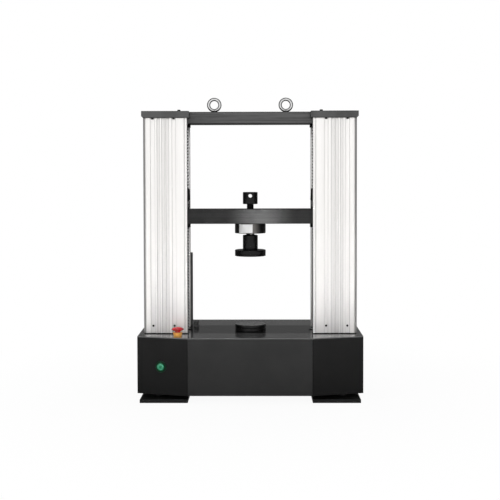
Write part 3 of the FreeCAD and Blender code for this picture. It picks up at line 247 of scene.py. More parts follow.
def powder_coat(name, level, roughness, grain, depth, specular, mottle=0.85, edges=None):
    """Sprayed paint with a fine orange peel and slight clouds in its colour and gloss."""
    finish = Finish(name, grey(level), roughness, Specular_IOR_Level=specular)
    cloud = finish.band(finish.noise(90 * MM, 3), 0.35, 0.65)
    finish.shade(cloud, mottle)
    peel = finish.noise(grain, 3)
    finish.set("Roughness", roughness + 0.08 * (peel - 0.5) + 0.05 * cloud)
    finish.relief(peel, depth, 0.6)
    # Painted shade along the top and bottom edges, where edges are given
    if edges:
        finish.edge_shade_lines(*edges)
    return finish.material


def brushed(name, level, roughness, mottle, specular, edges=None):
    """Metal or paint with fine level streaks."""
    finish = Finish(name, grey(level), roughness, Specular_IOR_Level=specular)
    streak = finish.noise(60 * MM, 4, LEVEL_STREAKS)
    fine = finish.noise(9 * MM, 2, LEVEL_STREAKS)
    finish.shade(finish.band(0.6 * streak + 0.4 * fine, 0.38, 0.62), mottle)
    finish.set("Roughness", roughness + 0.14 * (streak - 0.5))
    finish.relief(fine, FINE_DEPTH, 0.5)
    # Painted shade along the top and bottom edges, where edges are given
    if edges:
        finish.edge_shade_lines(*edges)
    return finish


def crosshead_paint():
    """Thin black paint on rolled steel with random smudges, a painted highlight about the middle that fades
    to painted shade towards the ends, and painted shade along its level edges.
    """
    finish = brushed("crosshead_grey", 122, 0.4, 0.8, 0.15)
    from_middle = finish.size_of(finish.along("X") - 34 * MM)
    # Painted highlight about the middle, painted shade towards the ends
    finish.shade(finish.band(from_middle, 0.0, 115 * MM), 0.17)
    finish.shade(finish.band(finish.noise(45 * MM, 3), 0.48, 0.7), 0.75)
    finish.shade(finish.band(finish.noise(3 * MM, 2), 0.45, 0.6), 0.85)
    finish.edge_shade_lines(CROSSHEAD_LOW.z, CROSSHEAD_HIGH.z, 1.6 * MM, 0.5)
    return finish.material


def platen_skin():
    """Black steel with fine rings, and painted light on its top face: a lighter grey tint."""
    finish = Finish("platen_black", grey(12), 0.26, Specular_IOR_Level=0.35)
    # Painted light: the top face is tinted lighter grey
    under_top = DECK_Z + (PLATEN_TOP - 0.5) * MM
    finish.tint(finish.band(finish.along("Z"), under_top, under_top + 0.4 * MM), grey(122))
    rings = finish.noise(30 * MM, 3, (1, 1, 26))
    finish.shade(rings, 0.75)
    finish.set("Roughness", 0.2 + 0.14 * rings)
    finish.relief(rings, FINE_DEPTH, 0.5)
    return finish.material


def cell_skin():
    """Dark polished steel with a painted brown-grey gleam to one side of its front."""
    finish = Finish("cell_body", grey(14), 0.3, Specular_IOR_Level=0.3)
    x = finish.along("X")
    # Painted reflection: a brown-grey gleam to one side of the front
    gleam = finish.band(x, -4 * MM, 4 * MM) * (1 - finish.band(x, 8 * MM, 36 * MM))
    finish.tint(gleam, grey(106, 0.06))
    rings = finish.noise(40 * MM, 3, TURNED_RINGS)
    finish.shade(rings, 0.8)
    finish.set("Roughness", 0.24 + 0.14 * rings)
    finish.relief(rings, FINE_DEPTH, 0.5)
    return finish.material


def turned_finish(name, level, roughness, metallic, specular, mottle=0.8):
    """Lathe-turned metal: fine rings and a few rubbed clouds."""
    finish = Finish(name, grey(level), roughness, metallic, Specular_IOR_Level=specular)
    if metallic > 0.5:
        # Painted shade at the rims
        finish.set("Specular Tint", RIM_DARK)
    rings = finish.noise(40 * MM, 3, TURNED_RINGS)
    cloud = finish.band(finish.noise(26 * MM, 3), 0.42, 0.7)
    finish.shade(cloud, mottle)
    finish.set("Roughness", roughness + 0.18 * (rings - 0.5) + 0.06 * cloud)
    finish.relief(rings, FINE_DEPTH, 0.5)
    return finish.material


def screw_skin():
    """Ground thread, with painted shade down in its grooves and on its lower part."""
    finish = Finish("screw_steel", grey(250), 0.3, 0.2)
    across = finish.size_of(finish.along("X")) - SCREW_X
    deep = finish.along("Y") - LOAD_Y
    # Painted shade down in the thread's grooves
    groove = 1 - finish.band(across * across + deep * deep, THREAD_FLOOR ** 2, THREAD_CREST ** 2)
    finish.shade(groove, 0.04)
    # Painted shade on the lower part of the screw
    finish.shade(1 - finish.band(finish.along("Z"), 0.35, 0.7), 0.45)
    finish.set("Roughness", 0.26 + 0.2 * groove)
    return finish.material


def eye_skin():
    """Forged eye with painted shade round its rims, where its surface turns away from the front and back."""
    finish = Finish("eye_steel", grey(225), 0.16, 1.0, Specular_Tint=RIM_DARK)
    front = finish.facing("Y")
    cloud = finish.noise(6 * MM, 3)
    # Painted shade on the rims
    finish.shade(1 - finish.band(front * front, 0.45, 0.9), 0.1)
    finish.shade(finish.band(cloud, 0.45, 0.65), 0.85)
    finish.relief(cloud, FINE_DEPTH, 0.5)
    return finish.material


def moulded(name, colour, roughness, **constants):
    """Moulded plastic or rubber with a fine skin."""
    finish = Finish(name, colour, roughness, **constants)
    skin = finish.noise(0.7 * MM, 2)
    cloud = finish.band(finish.noise(14 * MM, 2), 0.4, 0.7)
    finish.shade(cloud, 0.8)
    finish.set("Roughness", roughness + 0.12 * (skin - 0.5) + 0.06 * cloud)
    finish.relief(skin, 0.03 * MM, 0.5)
    return finish.material


def column_skin(name, level, roughness):
    """Satin anodised extrusion with die lines up it, with painted shade at its corners and a little painted
    shade low down.
    """
    finish = Finish(name, grey(level, 0.018), roughness, 0.4, Specular_Tint=RIM_DARK)
    lines = finish.noise(50 * MM, 4, (30, 30, 0.12))
    # Painted shade: a little greyer low down
    finish.shade(1 - finish.band(finish.along("Z"), 0.15, 0.95), 0.97)
    finish.shade(finish.band(lines, 0.4, 0.65), 0.96)
    # Painted shade at the rounded corners
    slant = finish.facing("X") * finish.facing("Y")
    finish.shade(finish.band(slant * slant, 0.02, 0.2), CORNER_SHADE)
    finish.set("Roughness", roughness + 0.1 * (lines - 0.5))
    finish.relief(lines, FINE_DEPTH, 0.4)
    return finish.material


# Finishes

SKIN = {
    "case_paint": powder_coat("case_paint", 39, 0.38, 1.6 * MM, 0.06 * MM, 0.28),
    # A darker copy of the case paint for the slanted corner panels: painted shade
    "corner_shade_paint": powder_coat("corner_shade_paint", 20, 0.36, 1.6 * MM, 0.06 * MM, 0.2),
    "deck_paint": powder_coat("deck_paint", 78, 0.05, 2.4 * MM, 0.004 * MM, 1.0),
    "table_black": brushed("table_black", 30, 0.16, 0.8, 0.45).material,
    "foot_black": powder_coat("foot_black", 25, 0.4, 1.2 * MM, 0.05 * MM, 0.3),
    "column_aluminium": column_skin("column_aluminium", 250, 0.2),
    # A darker copy of the column finish for the flute floors: painted shade
    "column_groove_shade": column_skin("column_groove_shade", 236, 0.26),
    "cap_grey": powder_coat("cap_grey", 87, 0.5, 1.0 * MM, 0.08 * MM, 0.3, 0.62, (CAP_LOW.z, CAP_HIGH.z)),
    "beam_grey": brushed("beam_grey", 91, 0.45, 0.52, 0.3, (BEAM_LOW.z, BEAM_HIGH.z)).material,
    "crosshead_grey": crosshead_paint(),
    "bright_steel": turned_finish("bright_steel", 215, 0.2, 1.0, 0.5, 0.85),
    "zinc_steel": turned_finish("zinc_steel", 215, 0.3, 1.0, 0.5, 0.85),
    "black_steel": turned_finish("black_steel", 10, 0.22, 0.0, 0.24, 0.7),
    "screw_steel": screw_skin(),
    "eye_steel": eye_skin(),
    "platen_black": platen_skin(),
    "cell_body": cell_skin(),
    "plate_satin": turned_finish("plate_satin", 226, 0.4, 0.3, 0.4, 0.93),
    "seal_rubber": moulded("seal_rubber", grey(20), 0.75),
    "belt_rubber": moulded("belt_rubber", grey(24), 0.8),
    "frame_steel": powder_coat("frame_steel", 60, 0.5, 1.2 * MM, 0.06 * MM, 0.4),
    "drive_grey": powder_coat("drive_grey", 120, 0.5, 1.0 * MM, 0.06 * MM, 0.4),
    "stop_red": moulded("stop_red", (0.5, 0.006, 0.014), 0.24, Coat_Weight=0.8, Coat_Roughness=0.12),
    "stop_yellow": moulded("stop_yellow", (0.86, 0.42, 0.09), 0.36),
    "black_plastic": moulded("black_plastic", grey(18), 0.45),
    "control_grey": powder_coat("control_grey", 52, 0.45, 1.0 * MM, 0.05 * MM, 0.3),
    "connector_metal": turned_finish("connector_metal", 84, 0.35, 0.2, 0.4),
    "bezel_black": moulded("bezel_black", (0.002, 0.022, 0.009), 0.4, Specular_IOR_Level=0.2),
}


def lens_green():
    """Green cap with a paler ring round its darker middle."""
    finish = Finish("button_green", (0.008, 0.2, 0.085), 0.24, Coat_Weight=0.3, Coat_Roughness=0.1)
    facets = finish.noise(1.6 * MM, 2)
    ends = {0: finish.place(), 1: POWER_FACE}
    away = finish.node("ShaderNodeVectorMath", {"operation": "DISTANCE"}, ends, "Value")
    ring = finish.band(away, 7.5 * MM, 9 * MM) * (1 - finish.band(away, 10 * MM, 12 * MM))
    finish.tint(ring, (0.055, 0.31, 0.18))
    finish.shade(finish.band(finish.noise(5 * MM, 2), 0.4, 0.62), 0.75)
    finish.set("Roughness", 0.18 + 0.16 * facets)
    finish.relief(facets, 0.05 * MM, 0.4)
    return finish.material


SKIN["button_green"] = lens_green()


# Modelling helpers

# Faces that meet at less than this are shaded as one round surface
SMOOTH_BELOW = math.radians(38)


def deselect():
    bpy.ops.object.select_all(action="DESELECT")


def edit():
    """Edit mode, with the whole active piece selected."""
    bpy.ops.object.mode_set(mode="EDIT")
    bpy.ops.mesh.select_all(action="SELECT")


def leave():
    bpy.ops.object.mode_set(mode="OBJECT")


def pick(kind, test):
    """Selects the verts, edges or faces of the piece in edit mode that pass the test."""
    bpy.context.tool_settings.mesh_select_mode = (kind == "verts", kind == "edges", kind == "faces")
    bpy.ops.mesh.select_all(action="DESELECT")
    mesh = bmesh.from_edit_mesh(bpy.context.object.data)
    for item in getattr(mesh, kind):
        if test(item):
            item.select_set(True)
    mesh.select_flush_mode()
    bmesh.update_edit_mesh(bpy.context.object.data)


def centre(item):
    """Middle of a corner, edge or face of a mesh."""
    points = [item.co] if isinstance(item, bmesh.types.BMVert) else [v.co for v in item.verts]
    return sum(points, Vector()) / len(points)


def close_up():
    """Merges what meets, and turns every face outwards."""
    bpy.ops.mesh.select_all(action="SELECT")
    bpy.ops.mesh.remove_doubles(threshold=0.002 * MM)
    bpy.ops.mesh.normals_make_consistent(inside=False)


def soften(width, segments=2, angle=30):
    """Rounds the sharp edges of the active piece and shades what is round as round."""
    piece = bpy.context.object
    if width:
        bevel = piece.modifiers.new("edge", "BEVEL")
        bevel.width = width
        bevel.segments = segments
        bevel.angle_limit = math.radians(angle)
        bevel.use_clamp_overlap = True
        bpy.ops.object.modifier_apply(modifier=bevel.name)
    bpy.ops.object.shade_smooth_by_angle(angle=SMOOTH_BELOW)
    return piece


def dress(piece, name, body, slot, skin, *nodes):
    """Names a piece, puts it on its body, and gives it its finish; its slot is not used."""
    piece.name = name
    piece.data.name = name
    piece.data.materials.clear()
    piece.data.materials.append(SKIN[skin])
    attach(piece, body)
    if nodes:
        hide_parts(*nodes)
    return piece


def settle(place, lean=None):
    """Takes the active piece, modelled about the Z axis, to its place, leaning from upright to lean."""
    piece = bpy.context.object
    if lean is not None:
        piece.rotation_euler = Vector((0, 0, 1)).rotation_difference(lean).to_euler()
    piece.location = place
    deselect()
    piece.select_set(True)
    bpy.context.view_layer.objects.active = piece
    bpy.ops.object.transform_apply(location=True, rotation=True, scale=True)
    return piece


def lathe(rings, place, edge=0.4 * MM, sides=72, lean=None, segments=2):
    """Turns a piece: a disc drawn out through its rings of (radius, height) in millimetres.

    Where the last ring is the first again, the piece is bored through.
    """
    deselect()
    bored = rings[0] == rings[-1]
    radius, height = rings[0]
    bpy.ops.mesh.primitive_circle_add(vertices=sides, radius=radius * MM,
                                      fill_type="NOTHING" if bored else "NGON")
    edit()
    bpy.ops.transform.translate(value=(0, 0, height * MM))
    for next_radius, next_height in rings[1:]:
        rise = (0, 0, (next_height - height) * MM)
        bpy.ops.mesh.extrude_region_move(TRANSFORM_OT_translate={"value": rise})
        grow = next_radius / radius
        if grow != 1:
            bpy.ops.transform.resize(value=(grow, grow, 1), center_override=(0, 0, next_height * MM))
        radius, height = next_radius, next_height
    close_up()
    leave()
    soften(edge, segments)
    return settle(place, lean)


def join(*parts):
    """Joins finished meshes into the first."""
    deselect()
    for part in parts:
        part.select_set(True)
    bpy.context.view_layer.objects.active = parts[0]
    bpy.ops.object.join()
    return parts[0]


def copy_to(piece, name, place):
    """A copy of a finished piece with its own mesh, moved by place."""
    twin = piece.copy()
    twin.data = piece.data.copy()
    twin.name = name
    twin.data.name = name
    bpy.context.scene.collection.objects.link(twin)
    deselect()
    twin.select_set(True)
    bpy.context.view_layer.objects.active = twin
    twin.location = place
    bpy.ops.object.transform_apply(location=True, rotation=True, scale=True)
    return twin


def mirror_to(piece, name):
    """The same piece on the other side of the machine, with its own mesh."""
    twin = copy_to(piece, name, (0, 0, 0))
    edit()
    bpy.ops.transform.resize(value=(-1, 1, 1), center_override=(0, 0, 0))
    bpy.ops.mesh.normals_make_consistent(inside=False)
    leave()
    return twin


def cuboid(low, high):
    """A box in edit mode, all selected, from one corner to the other."""
    deselect()
    bpy.ops.mesh.primitive_cube_add(size=1, location=(0, 0, 0))
    edit()
    size = Vector(high) - Vector(low)
    middle = 0.5 * (Vector(high) + Vector(low))
    bpy.ops.transform.resize(value=size, center_override=(0, 0, 0))
    bpy.ops.transform.translate(value=middle)


def slice_at(place, normal, **options):
    """Cuts the whole mesh in edit mode along a plane."""
    bpy.ops.mesh.select_all(action="SELECT")
    bpy.ops.mesh.bisect(plane_co=place, plane_no=normal, **options)


def bore(piece, cutter):
    """Cuts one solid out of another and puts the cutter away."""
    deselect()
    piece.select_set(True)
    bpy.context.view_layer.objects.active = piece
    cut = piece.modifiers.new("bore", "BOOLEAN")
    cut.object = cutter
    cut.operation = "DIFFERENCE"
    bpy.ops.object.modifier_apply(modifier=cut.name)
    bpy.data.objects.remove(cutter)
    return piece


# Column covers

def cover_grooves():
    """Every groove as (near x, far x, depth), in metres from the load axis outwards."""
    grooves = []
    for start, width, depth in FLUTES + SCREW_GROOVES + (EDGE_LINE,):
        outer = COVER_HIGH.x - start * MM
        grooves.append((outer - width * MM, outer, depth * MM))
    return grooves


def is_air(point):
    """Whether a point of the cover's plan lies in its hollow, its slot or a groove."""
    x0, x1 = COVER_LOW.x, COVER_HIGH.x
    y0, y1 = COVER_LOW.y, COVER_HIGH.y
    if x0 + COVER_WALL < point.x < x1 - COVER_WALL and y0 + COVER_WALL < point.y < y1 - COVER_WALL:
        return True
    if point.x < x0 + COVER_WALL and abs(point.y - LOAD_Y) < 0.5 * COVER_SLOT:
        return True
    near_face = min(point.y - y0, y1 - point.y)
    return any(low < point.x < high and near_face < depth for low, high, depth in cover_grooves())


def right_cover():
    """The extrusion: its plan cut into cells, the cells of air taken out, and the rest drawn up."""
    x0, x1 = COVER_LOW.x, COVER_HIGH.x
    y0, y1 = COVER_LOW.y, COVER_HIGH.y
    z0 = COVER_LOW.z
    deselect()
    bpy.ops.mesh.primitive_plane_add(size=1)
    edit()
    bpy.ops.transform.resize(value=(x1 - x0, y1 - y0, 1), center_override=(0, 0, 0))
    bpy.ops.transform.translate(value=(0.5 * (x0 + x1), 0.5 * (y0 + y1), z0))
    pick("verts", lambda v: v.co.x > x1 - MM)
    bpy.ops.mesh.bevel(offset=COVER_CORNER_R, segments=7, affect="VERTICES")
    across = {x0 + COVER_WALL, x1 - COVER_WALL}
    along = {y0 + COVER_WALL, y1 - COVER_WALL, LOAD_Y - 0.5 * COVER_SLOT, LOAD_Y + 0.5 * COVER_SLOT}
    for low, high, depth in cover_grooves():
        across |= {low, high}
        along |= {y0 + depth, y1 - depth}
    for x in sorted(across):
        slice_at((x, 0, z0), (1, 0, 0))
    for y in sorted(along):
        slice_at((0, y, z0), (0, 1, 0))
    pick("faces", lambda f: is_air(centre(f)))
    bpy.ops.mesh.delete(type="FACE")
    bpy.ops.mesh.select_all(action="SELECT")
    bpy.ops.mesh.dissolve_limited(angle_limit=math.radians(1))
    bpy.ops.mesh.select_all(action="SELECT")
    bpy.ops.mesh.extrude_region_move(TRANSFORM_OT_translate={"value": (0, 0, COVER_HIGH.z - z0)})
    close_up()
    leave()
    return soften(0.6 * MM, 3)


def groove_skin(piece, side):
    """Gives the floors of the flutes a darker, rougher copy of the column finish; the darker colour is
    painted shade.
    """
    piece.data.materials.append(SKIN["column_groove_shade"])
    for face in piece.data.polygons:
        x = side * face.center.x
        near_face = min(face.center.y - COVER_LOW.y, COVER_HIGH.y - face.center.y)
        for low, high, depth in cover_grooves()[:len(FLUTES)]:
            if low - 0.1 * MM < x < high + 0.1 * MM and 0.25 * depth < near_face < depth + 0.2 * MM:
                face.material_index = 1


cover = right_cover()
left_cover = mirror_to(cover, "left_fluted_cover")
for piece, (name, side) in ((left_cover, SIDES[0]), (cover, SIDES[1])):
    dress(piece, name + "_fluted_cover", "base", "column_aluminium", "column_aluminium",
          name + "_column_cover")
    groove_skin(piece, side)


# Cover screws, cap lugs and cap bolts

FRONT = Vector((0, -1, 0))
BACK = Vector((0, 1, 0))
# Radius and height in millimetres
COVER_SCREW_HEAD = (3.6, 2.4)
LUG_HALF_WIDTH = 3.8 * MM
LUG_HALF_DEPTH = 1.2 * MM
LUG_HEIGHT = 5 * MM
LUG_CORNER_R = 1.0 * MM
LUG_GAP = 0.2 * MM


def button_rings(head_r, head_h):
    """The rings of a round-headed screw with its socket."""
    return [(0.62 * head_r, -2.0), (0.62 * head_r, 0), (head_r, 0), (head_r, 0.35 * head_h),
            (0.82 * head_r, 0.8 * head_h), (0.55 * head_r, head_h), (0.5 * head_r, head_h),
            (0.42 * head_r, 0.45 * head_h)]


def groove_middle(groove):
    """A groove's distance from the load axis, and its depth."""
    start, width, depth = groove
    return COVER_HIGH.x - (start + 0.5 * width) * MM, depth * MM


def cap_lug(x, y):
    """A small black lug at the top of a screw groove, right under the cap."""
    cuboid((x - LUG_HALF_WIDTH, y - LUG_HALF_DEPTH, COVER_HIGH.z - LUG_HEIGHT),
           (x + LUG_HALF_WIDTH, y + LUG_HALF_DEPTH, COVER_HIGH.z - LUG_GAP))
    pick("edges", lambda e: centre(e).z < COVER_HIGH.z - LUG_HEIGHT + MM)
    bpy.ops.mesh.bevel(offset=LUG_CORNER_R, segments=3, affect="EDGES")
    close_up()
    leave()
    piece = settle((0, 0, 0))
    soften(0.2 * MM)
    return piece


for name, side in SIDES:
    for i, groove in enumerate(SCREW_GROOVES):
        x, depth = groove_middle(groove)
        for end, out, y in (("front", FRONT, COVER_LOW.y + depth), ("back", BACK, COVER_HIGH.y - depth)):
            place = (side * x, y, COVER_LOW.z + COVER_SCREW_UP)
            screw = lathe(button_rings(*COVER_SCREW_HEAD), place, 0.15 * MM, 24, out)
            dress(screw, f"{name}_cover_screw_{end}_{i + 1}", "base", "zinc_steel", "black_steel")
            dress(cap_lug(side * x, y), f"{name}_cap_lug_{end}_{i + 1}", "base", "cap_grey",
                  "black_plastic")

CAP_BOLT_X = 231 * MM
CAP_BOLT_RINGS = [(3, -2), (3, 0), (6.2, 0), (6.2, 1.4), (5.2, 1.4), (5.2, 8.4), (4.4, 9.4), (2.4, 9.4),
                  (2.2, 6)]
for name, side in SIDES:
    place = (side * CAP_BOLT_X, LOAD_Y, CAP_HIGH.z)
    bolt = lathe(CAP_BOLT_RINGS, place, 0.4 * MM, 40)
    dress(bolt, name + "_cap_bolt", "base", "black_steel", "black_steel")


# Eye bolts

EYE_SHANK_RINGS = [(5, -16), (5, 0), (12, 0), (12, 2.4), (9.6, 3.4), (7.2, 5.2), (5.6, 7.6)]


def eye_bolt():
    """Forged eye: a ring spun from its round section, on a turned collar and shank."""
    deselect()
    bpy.ops.mesh.primitive_circle_add(vertices=18, radius=EYE_WIRE_R, fill_type="NOTHING")
    edit()
    bpy.ops.transform.translate(value=(EYE_RING_R, 0, 0))
    bpy.ops.mesh.spin(steps=56, angle=math.tau, center=(0, 0, 0), axis=(0, 1, 0))
    close_up()
    leave()
    soften(0)
    ring_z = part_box("right_eye_bolt")[1].z - EYE_RING_R - EYE_WIRE_R
    ring = settle((EYE_X, LOAD_Y, ring_z))
    shank = lathe(EYE_SHANK_RINGS, (EYE_X, LOAD_Y, BEAM_HIGH.z), 0.5 * MM, 48)
    return join(ring, shank)


right_eye = eye_bolt()
left_eye = mirror_to(right_eye, "left_lifting_eye")
dress(left_eye, "left_lifting_eye", "base", "bright_steel", "eye_steel", "left_eye_bolt")
dress(right_eye, "right_lifting_eye", "base", "bright_steel", "eye_steel", "right_eye_bolt")


# Ball screws

# One lead of the thread as (height from its middle, depth), in millimetres
THREAD_SECTION = ((-5, 0), (-3.1, 0), (-2.5, 0.9), (-1.4, 1.9), (0, 2.2), (1.4, 1.9), (2.5, 0.9), (3.1, 0),
                  (5, 0))
THREAD_LOW = DECK_Z + 4 * MM
THREAD_HIGH = BEAM_LOW.z - 15 * MM


def thread():
    """One lead of the thread's section, wound up the screw and trimmed level at both ends."""
    low, high = THREAD_LOW, THREAD_HIGH
    deselect()
    bpy.ops.mesh.primitive_plane_add(size=THREAD_LEAD)
    edit()
    bpy.ops.transform.rotate(value=math.pi / 2, orient_axis="X", center_override=(0, 0, 0))
    bpy.ops.transform.translate(value=(SCREW_R - 0.5 * THREAD_LEAD, 0, low - THREAD_LEAD))
    pick("verts", lambda v: v.co.x < SCREW_R - 0.5 * THREAD_LEAD)
    bpy.ops.mesh.delete(type="VERT")
    bpy.ops.mesh.select_all(action="SELECT")
    bpy.ops.mesh.subdivide(number_cuts=len(THREAD_SECTION) - 2)
    step = THREAD_LEAD / (len(THREAD_SECTION) - 1)
    for i, (up, depth) in enumerate(THREAD_SECTION):
        level = low - 1.5 * THREAD_LEAD + i * step
        pick("verts", lambda v: abs(v.co.z - level) < 0.05 * MM and v.co.x > SCREW_R - 0.01 * MM)
        move = (-depth * MM, 0, (up - THREAD_SECTION[0][0]) * MM - i * step)
        bpy.ops.transform.translate(value=move)
    leave()
    piece = bpy.context.object
    wind = piece.modifiers.new("wind", "SCREW")
    wind.screw_offset = THREAD_LEAD
    wind.iterations = int((high - low) / THREAD_LEAD) + 3
    wind.steps = THREAD_STEPS
    wind.render_steps = THREAD_STEPS
    wind.use_merge_vertices = True
    bpy.ops.object.modifier_apply(modifier=wind.name)
    edit()
    bpy.ops.mesh.remove_doubles(threshold=0.02 * MM)
    slice_at((0, 0, low), (0, 0, 1), use_fill=True, clear_inner=True)
    slice_at((0, 0, high), (0, 0, 1), use_fill=True, clear_outer=True)
    close_up()
    leave()
    soften(0)
    return settle((SCREW_X, LOAD_Y, 0))


def ball_screw():
    """The wound thread with a turned journal at each end, which reaches 1 mm into it."""
    parts = [thread()]
    radius = JOURNAL_R / MM
    for low, high in ((SCREW_LOW.z / MM, THREAD_LOW / MM + 1), (THREAD_HIGH / MM - 1, SCREW_HIGH.z / MM)):
        parts.append(lathe([(radius, low), (radius, high)], (SCREW_X, LOAD_Y, 0), 0.6 * MM, 40))
    return join(*parts)


right_screw = ball_screw()
left_screw = copy_to(right_screw, "left_ball_screw", (-2 * SCREW_X, 0, 0))
dress(left_screw, "left_ball_screw", "left_screw_unit", "bright_steel", "screw_steel", "left_screw")
dress(right_screw, "right_ball_screw", "right_screw_unit", "bright_steel", "screw_steel", "right_screw")


# What rides on the screws and guides

def pair(rings, x, base_z, name, body, slot, skin, node, edge=0.4 * MM, sides=72):
    """The same turned piece on both sides, standing for one node."""
    right = lathe(rings, (x, LOAD_Y, base_z), edge, sides)
    left = copy_to(right, "left_" + name, (-2 * x, 0, 0))
    dress(left, "left_" + name, body, slot, skin, node)
    dress(right, "right_" + name, body, slot, skin, node)


# Heights in millimetres over the crosshead's underside; the boots' and rods' are over their own base_z
top = (CROSSHEAD_HIGH.z - CROSSHEAD_LOW.z) / MM
hub_top = top + 26
NUT_RINGS = [(16.4, -13), (20, -13), (21, -12), (21, -8), (20.2, -7.4), (20.2, -6.6), (21, -6),
             (21, top - 12), (34, top - 12), (34, top), (16.4, top), (16.4, -13)]
pair(NUT_RINGS, SCREW_X, CROSSHEAD_LOW.z, "screw_nut", "crosshead_unit", "bright_steel", "black_steel",
     "ball_nuts", 0.3 * MM)
HUB_RINGS = [(16.4, top), (17.8, top), (17.8, top + 6), (19, top + 6), (19, top + 11), (18.4, top + 11.6),
             (18.4, top + 13), (19, top + 13.6), (19, hub_top), (16.4, hub_top), (16.4, top)]
pair(HUB_RINGS, SCREW_X, CROSSHEAD_LOW.z, "nut_hub", "crosshead_unit", "bright_steel", "bright_steel",
     "ball_nuts", 0.3 * MM)
BOOT_RINGS = [(16.4, 0), (17.6, 0), (17.6, 3), (19.8, 3), (19.8, 6), (19.3, 11), (19.6, 12), (18.9, 17),
              (19.2, 18), (18.5, 23), (18.8, 24), (18.1, 29), (18.4, 30), (17.6, 40), (16.4, 40), (16.4, 0)]
pair(BOOT_RINGS, SCREW_X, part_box("nut_boots")[0].z, "wiper_boot", "crosshead_unit", "seal_rubber",
     "seal_rubber", "nut_boots", 0.3 * MM)
BUSH_RINGS = [(20.05, -8), (31, -8), (31, 0), (27, 0), (27, top + 3), (24, top + 6), (20.05, top + 6),
              (20.05, -8)]
pair(BUSH_RINGS, GUIDE_X, CROSSHEAD_LOW.z, "guide_bush", "crosshead_unit", "black_steel", "black_steel",
     "guide_bushes", 0.5 * MM)
GUIDE_RINGS = [(GUIDE_R / MM, GUIDE_LOW.z / MM), (GUIDE_R / MM, BEAM_LOW.z / MM),
               (GUIDE_END_R / MM, BEAM_LOW.z / MM), (GUIDE_END_R / MM, GUIDE_HIGH.z / MM)]
pair(GUIDE_RINGS, GUIDE_X, 0, "guide_rod", "base", "bright_steel", "bright_steel", "guide_columns",
     0.8 * MM, 96)


# Load string

# Heights over the lowest point of the cell's stud, in millimetres
CELL_TALL = 32
cell_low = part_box("load_cell")[0].z
cell_face = (CROSSHEAD_LOW.z - CELL_TALL * MM - cell_low) / MM
cell_top = cell_face + CELL_TALL
CELL_RINGS = [(10, 0), (10, cell_face - 6.3), (13.5, cell_face - 6.3), (13.5, cell_face), (29, cell_face),
              (29, cell_face + 5), (33, cell_face + 5), (33, cell_face), (48.6, cell_face),
              (50, cell_face + 1.4), (50, cell_top - 2.8), (49.4, cell_top - 2.4), (49.4, cell_top - 1.6),
              (50, cell_top - 1.2), (49.2, cell_top)]
cell = lathe(CELL_RINGS, (0, LOAD_Y, cell_low), 0.3 * MM, 128)
bolt_places = [(CELL_BOLT_RING * math.cos(a), LOAD_Y + CELL_BOLT_RING * math.sin(a))
               for a in (math.tau * i / CELL_BOLTS for i in range(CELL_BOLTS))]
for x, y in bolt_places:
    well = lathe([(5.05, -1), (5.05, 7)], (x, y, cell_low + cell_face * MM), 0, 32)
    bore(cell, well)
dress(cell, "force_cell", "crosshead_unit", "cell_body", "cell_body", "load_cell")


# Half the plate's height in millimetres, and the degrees it reaches to either side of the front
PLATE_UP = 14
PLATE_ARC = (-46, 9)


def cell_plate():
    """A thin blank plate bent round the front of the cell: the part of a ring within its arc."""
    low, high = (math.radians(a) for a in PLATE_ARC)
    rings = [(50, -PLATE_UP), (50.45, -PLATE_UP), (50.45, PLATE_UP), (50, PLATE_UP), (50, -PLATE_UP)]
    piece = lathe(rings, (0, 0, 0), 0, 120)
    edit()
    pick("faces", lambda f: not low < math.atan2(centre(f).x, -centre(f).y) < high)
    bpy.ops.mesh.delete(type="FACE")
    bpy.ops.mesh.select_all(action="SELECT")
    bpy.ops.mesh.fill_holes(sides=8)
    close_up()
    leave()
    soften(0.12 * MM)
    return settle((0, LOAD_Y, cell_low + (cell_face + 0.5 * CELL_TALL) * MM))


dress(cell_plate(), "cell_plate", "crosshead_unit", "cell_body", "plate_satin")
# The first bolt stands for the node that holds them all
BOLT_RINGS = [(3, 12), (3, 6), (5, 6), (5, 0.6), (4.5, 0), (2.6, 0), (2.2, 3)]
for i, (x, y) in enumerate(bolt_places):
    bolt = lathe(BOLT_RINGS, (x, y, cell_low + (cell_face + 1) * MM), 0.15 * MM, 24)
    nodes = ["load_cell_bolts"] if i == 0 else []
    dress(bolt, f"cell_bolt_{i + 1}", "crosshead_unit", "black_steel", "black_steel", *nodes)

STEM_SPIGOT = 10
stem_low, stem_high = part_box("compression_stem")
stem_face = stem_low.z + STEM_SPIGOT * MM
length = (stem_high.z - stem_face) / MM
STEM_RINGS = [(10, -STEM_SPIGOT), (10, 0), (23.7, 0), (24.3, 0.8), (24.3, length - 2), (22.3, length),
              (10.05, length), (10.05, length - 11)]
dress(lathe(STEM_RINGS, (0, LOAD_Y, stem_face), 0.3 * MM, 96), "press_stem", "crosshead_unit",
      "black_steel", "black_steel", "compression_stem")

upper_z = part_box("upper_platen")[0].z
UPPER_RINGS = [(48.6, 0), (50, 1.4), (50, 5.4), (49.5, 5.8), (49.5, 6.4), (50, 6.8), (50, 18.6), (48.6, 20),
               (10.05, 20), (10.05, 9)]
dress(lathe(UPPER_RINGS, (0, LOAD_Y, upper_z), 0.25 * MM, 128), "upper_press_platen", "crosshead_unit",
      "black_steel", "black_steel", "upper_platen")
LOWER_RINGS = [(10, -10), (10, 0), (48.8, 0), (50, 1.2), (50, 8.6), (49.2, 9.2), (49.2, 10), (50, 10.6),
               (50, 20.1), (48.6, PLATEN_TOP), (0.5, PLATEN_TOP)]
dress(lathe(LOWER_RINGS, (0, LOAD_Y, DECK_Z), 0.25 * MM, 128), "lower_press_platen", "base", "black_steel",
      "platen_black", "lower_platen")

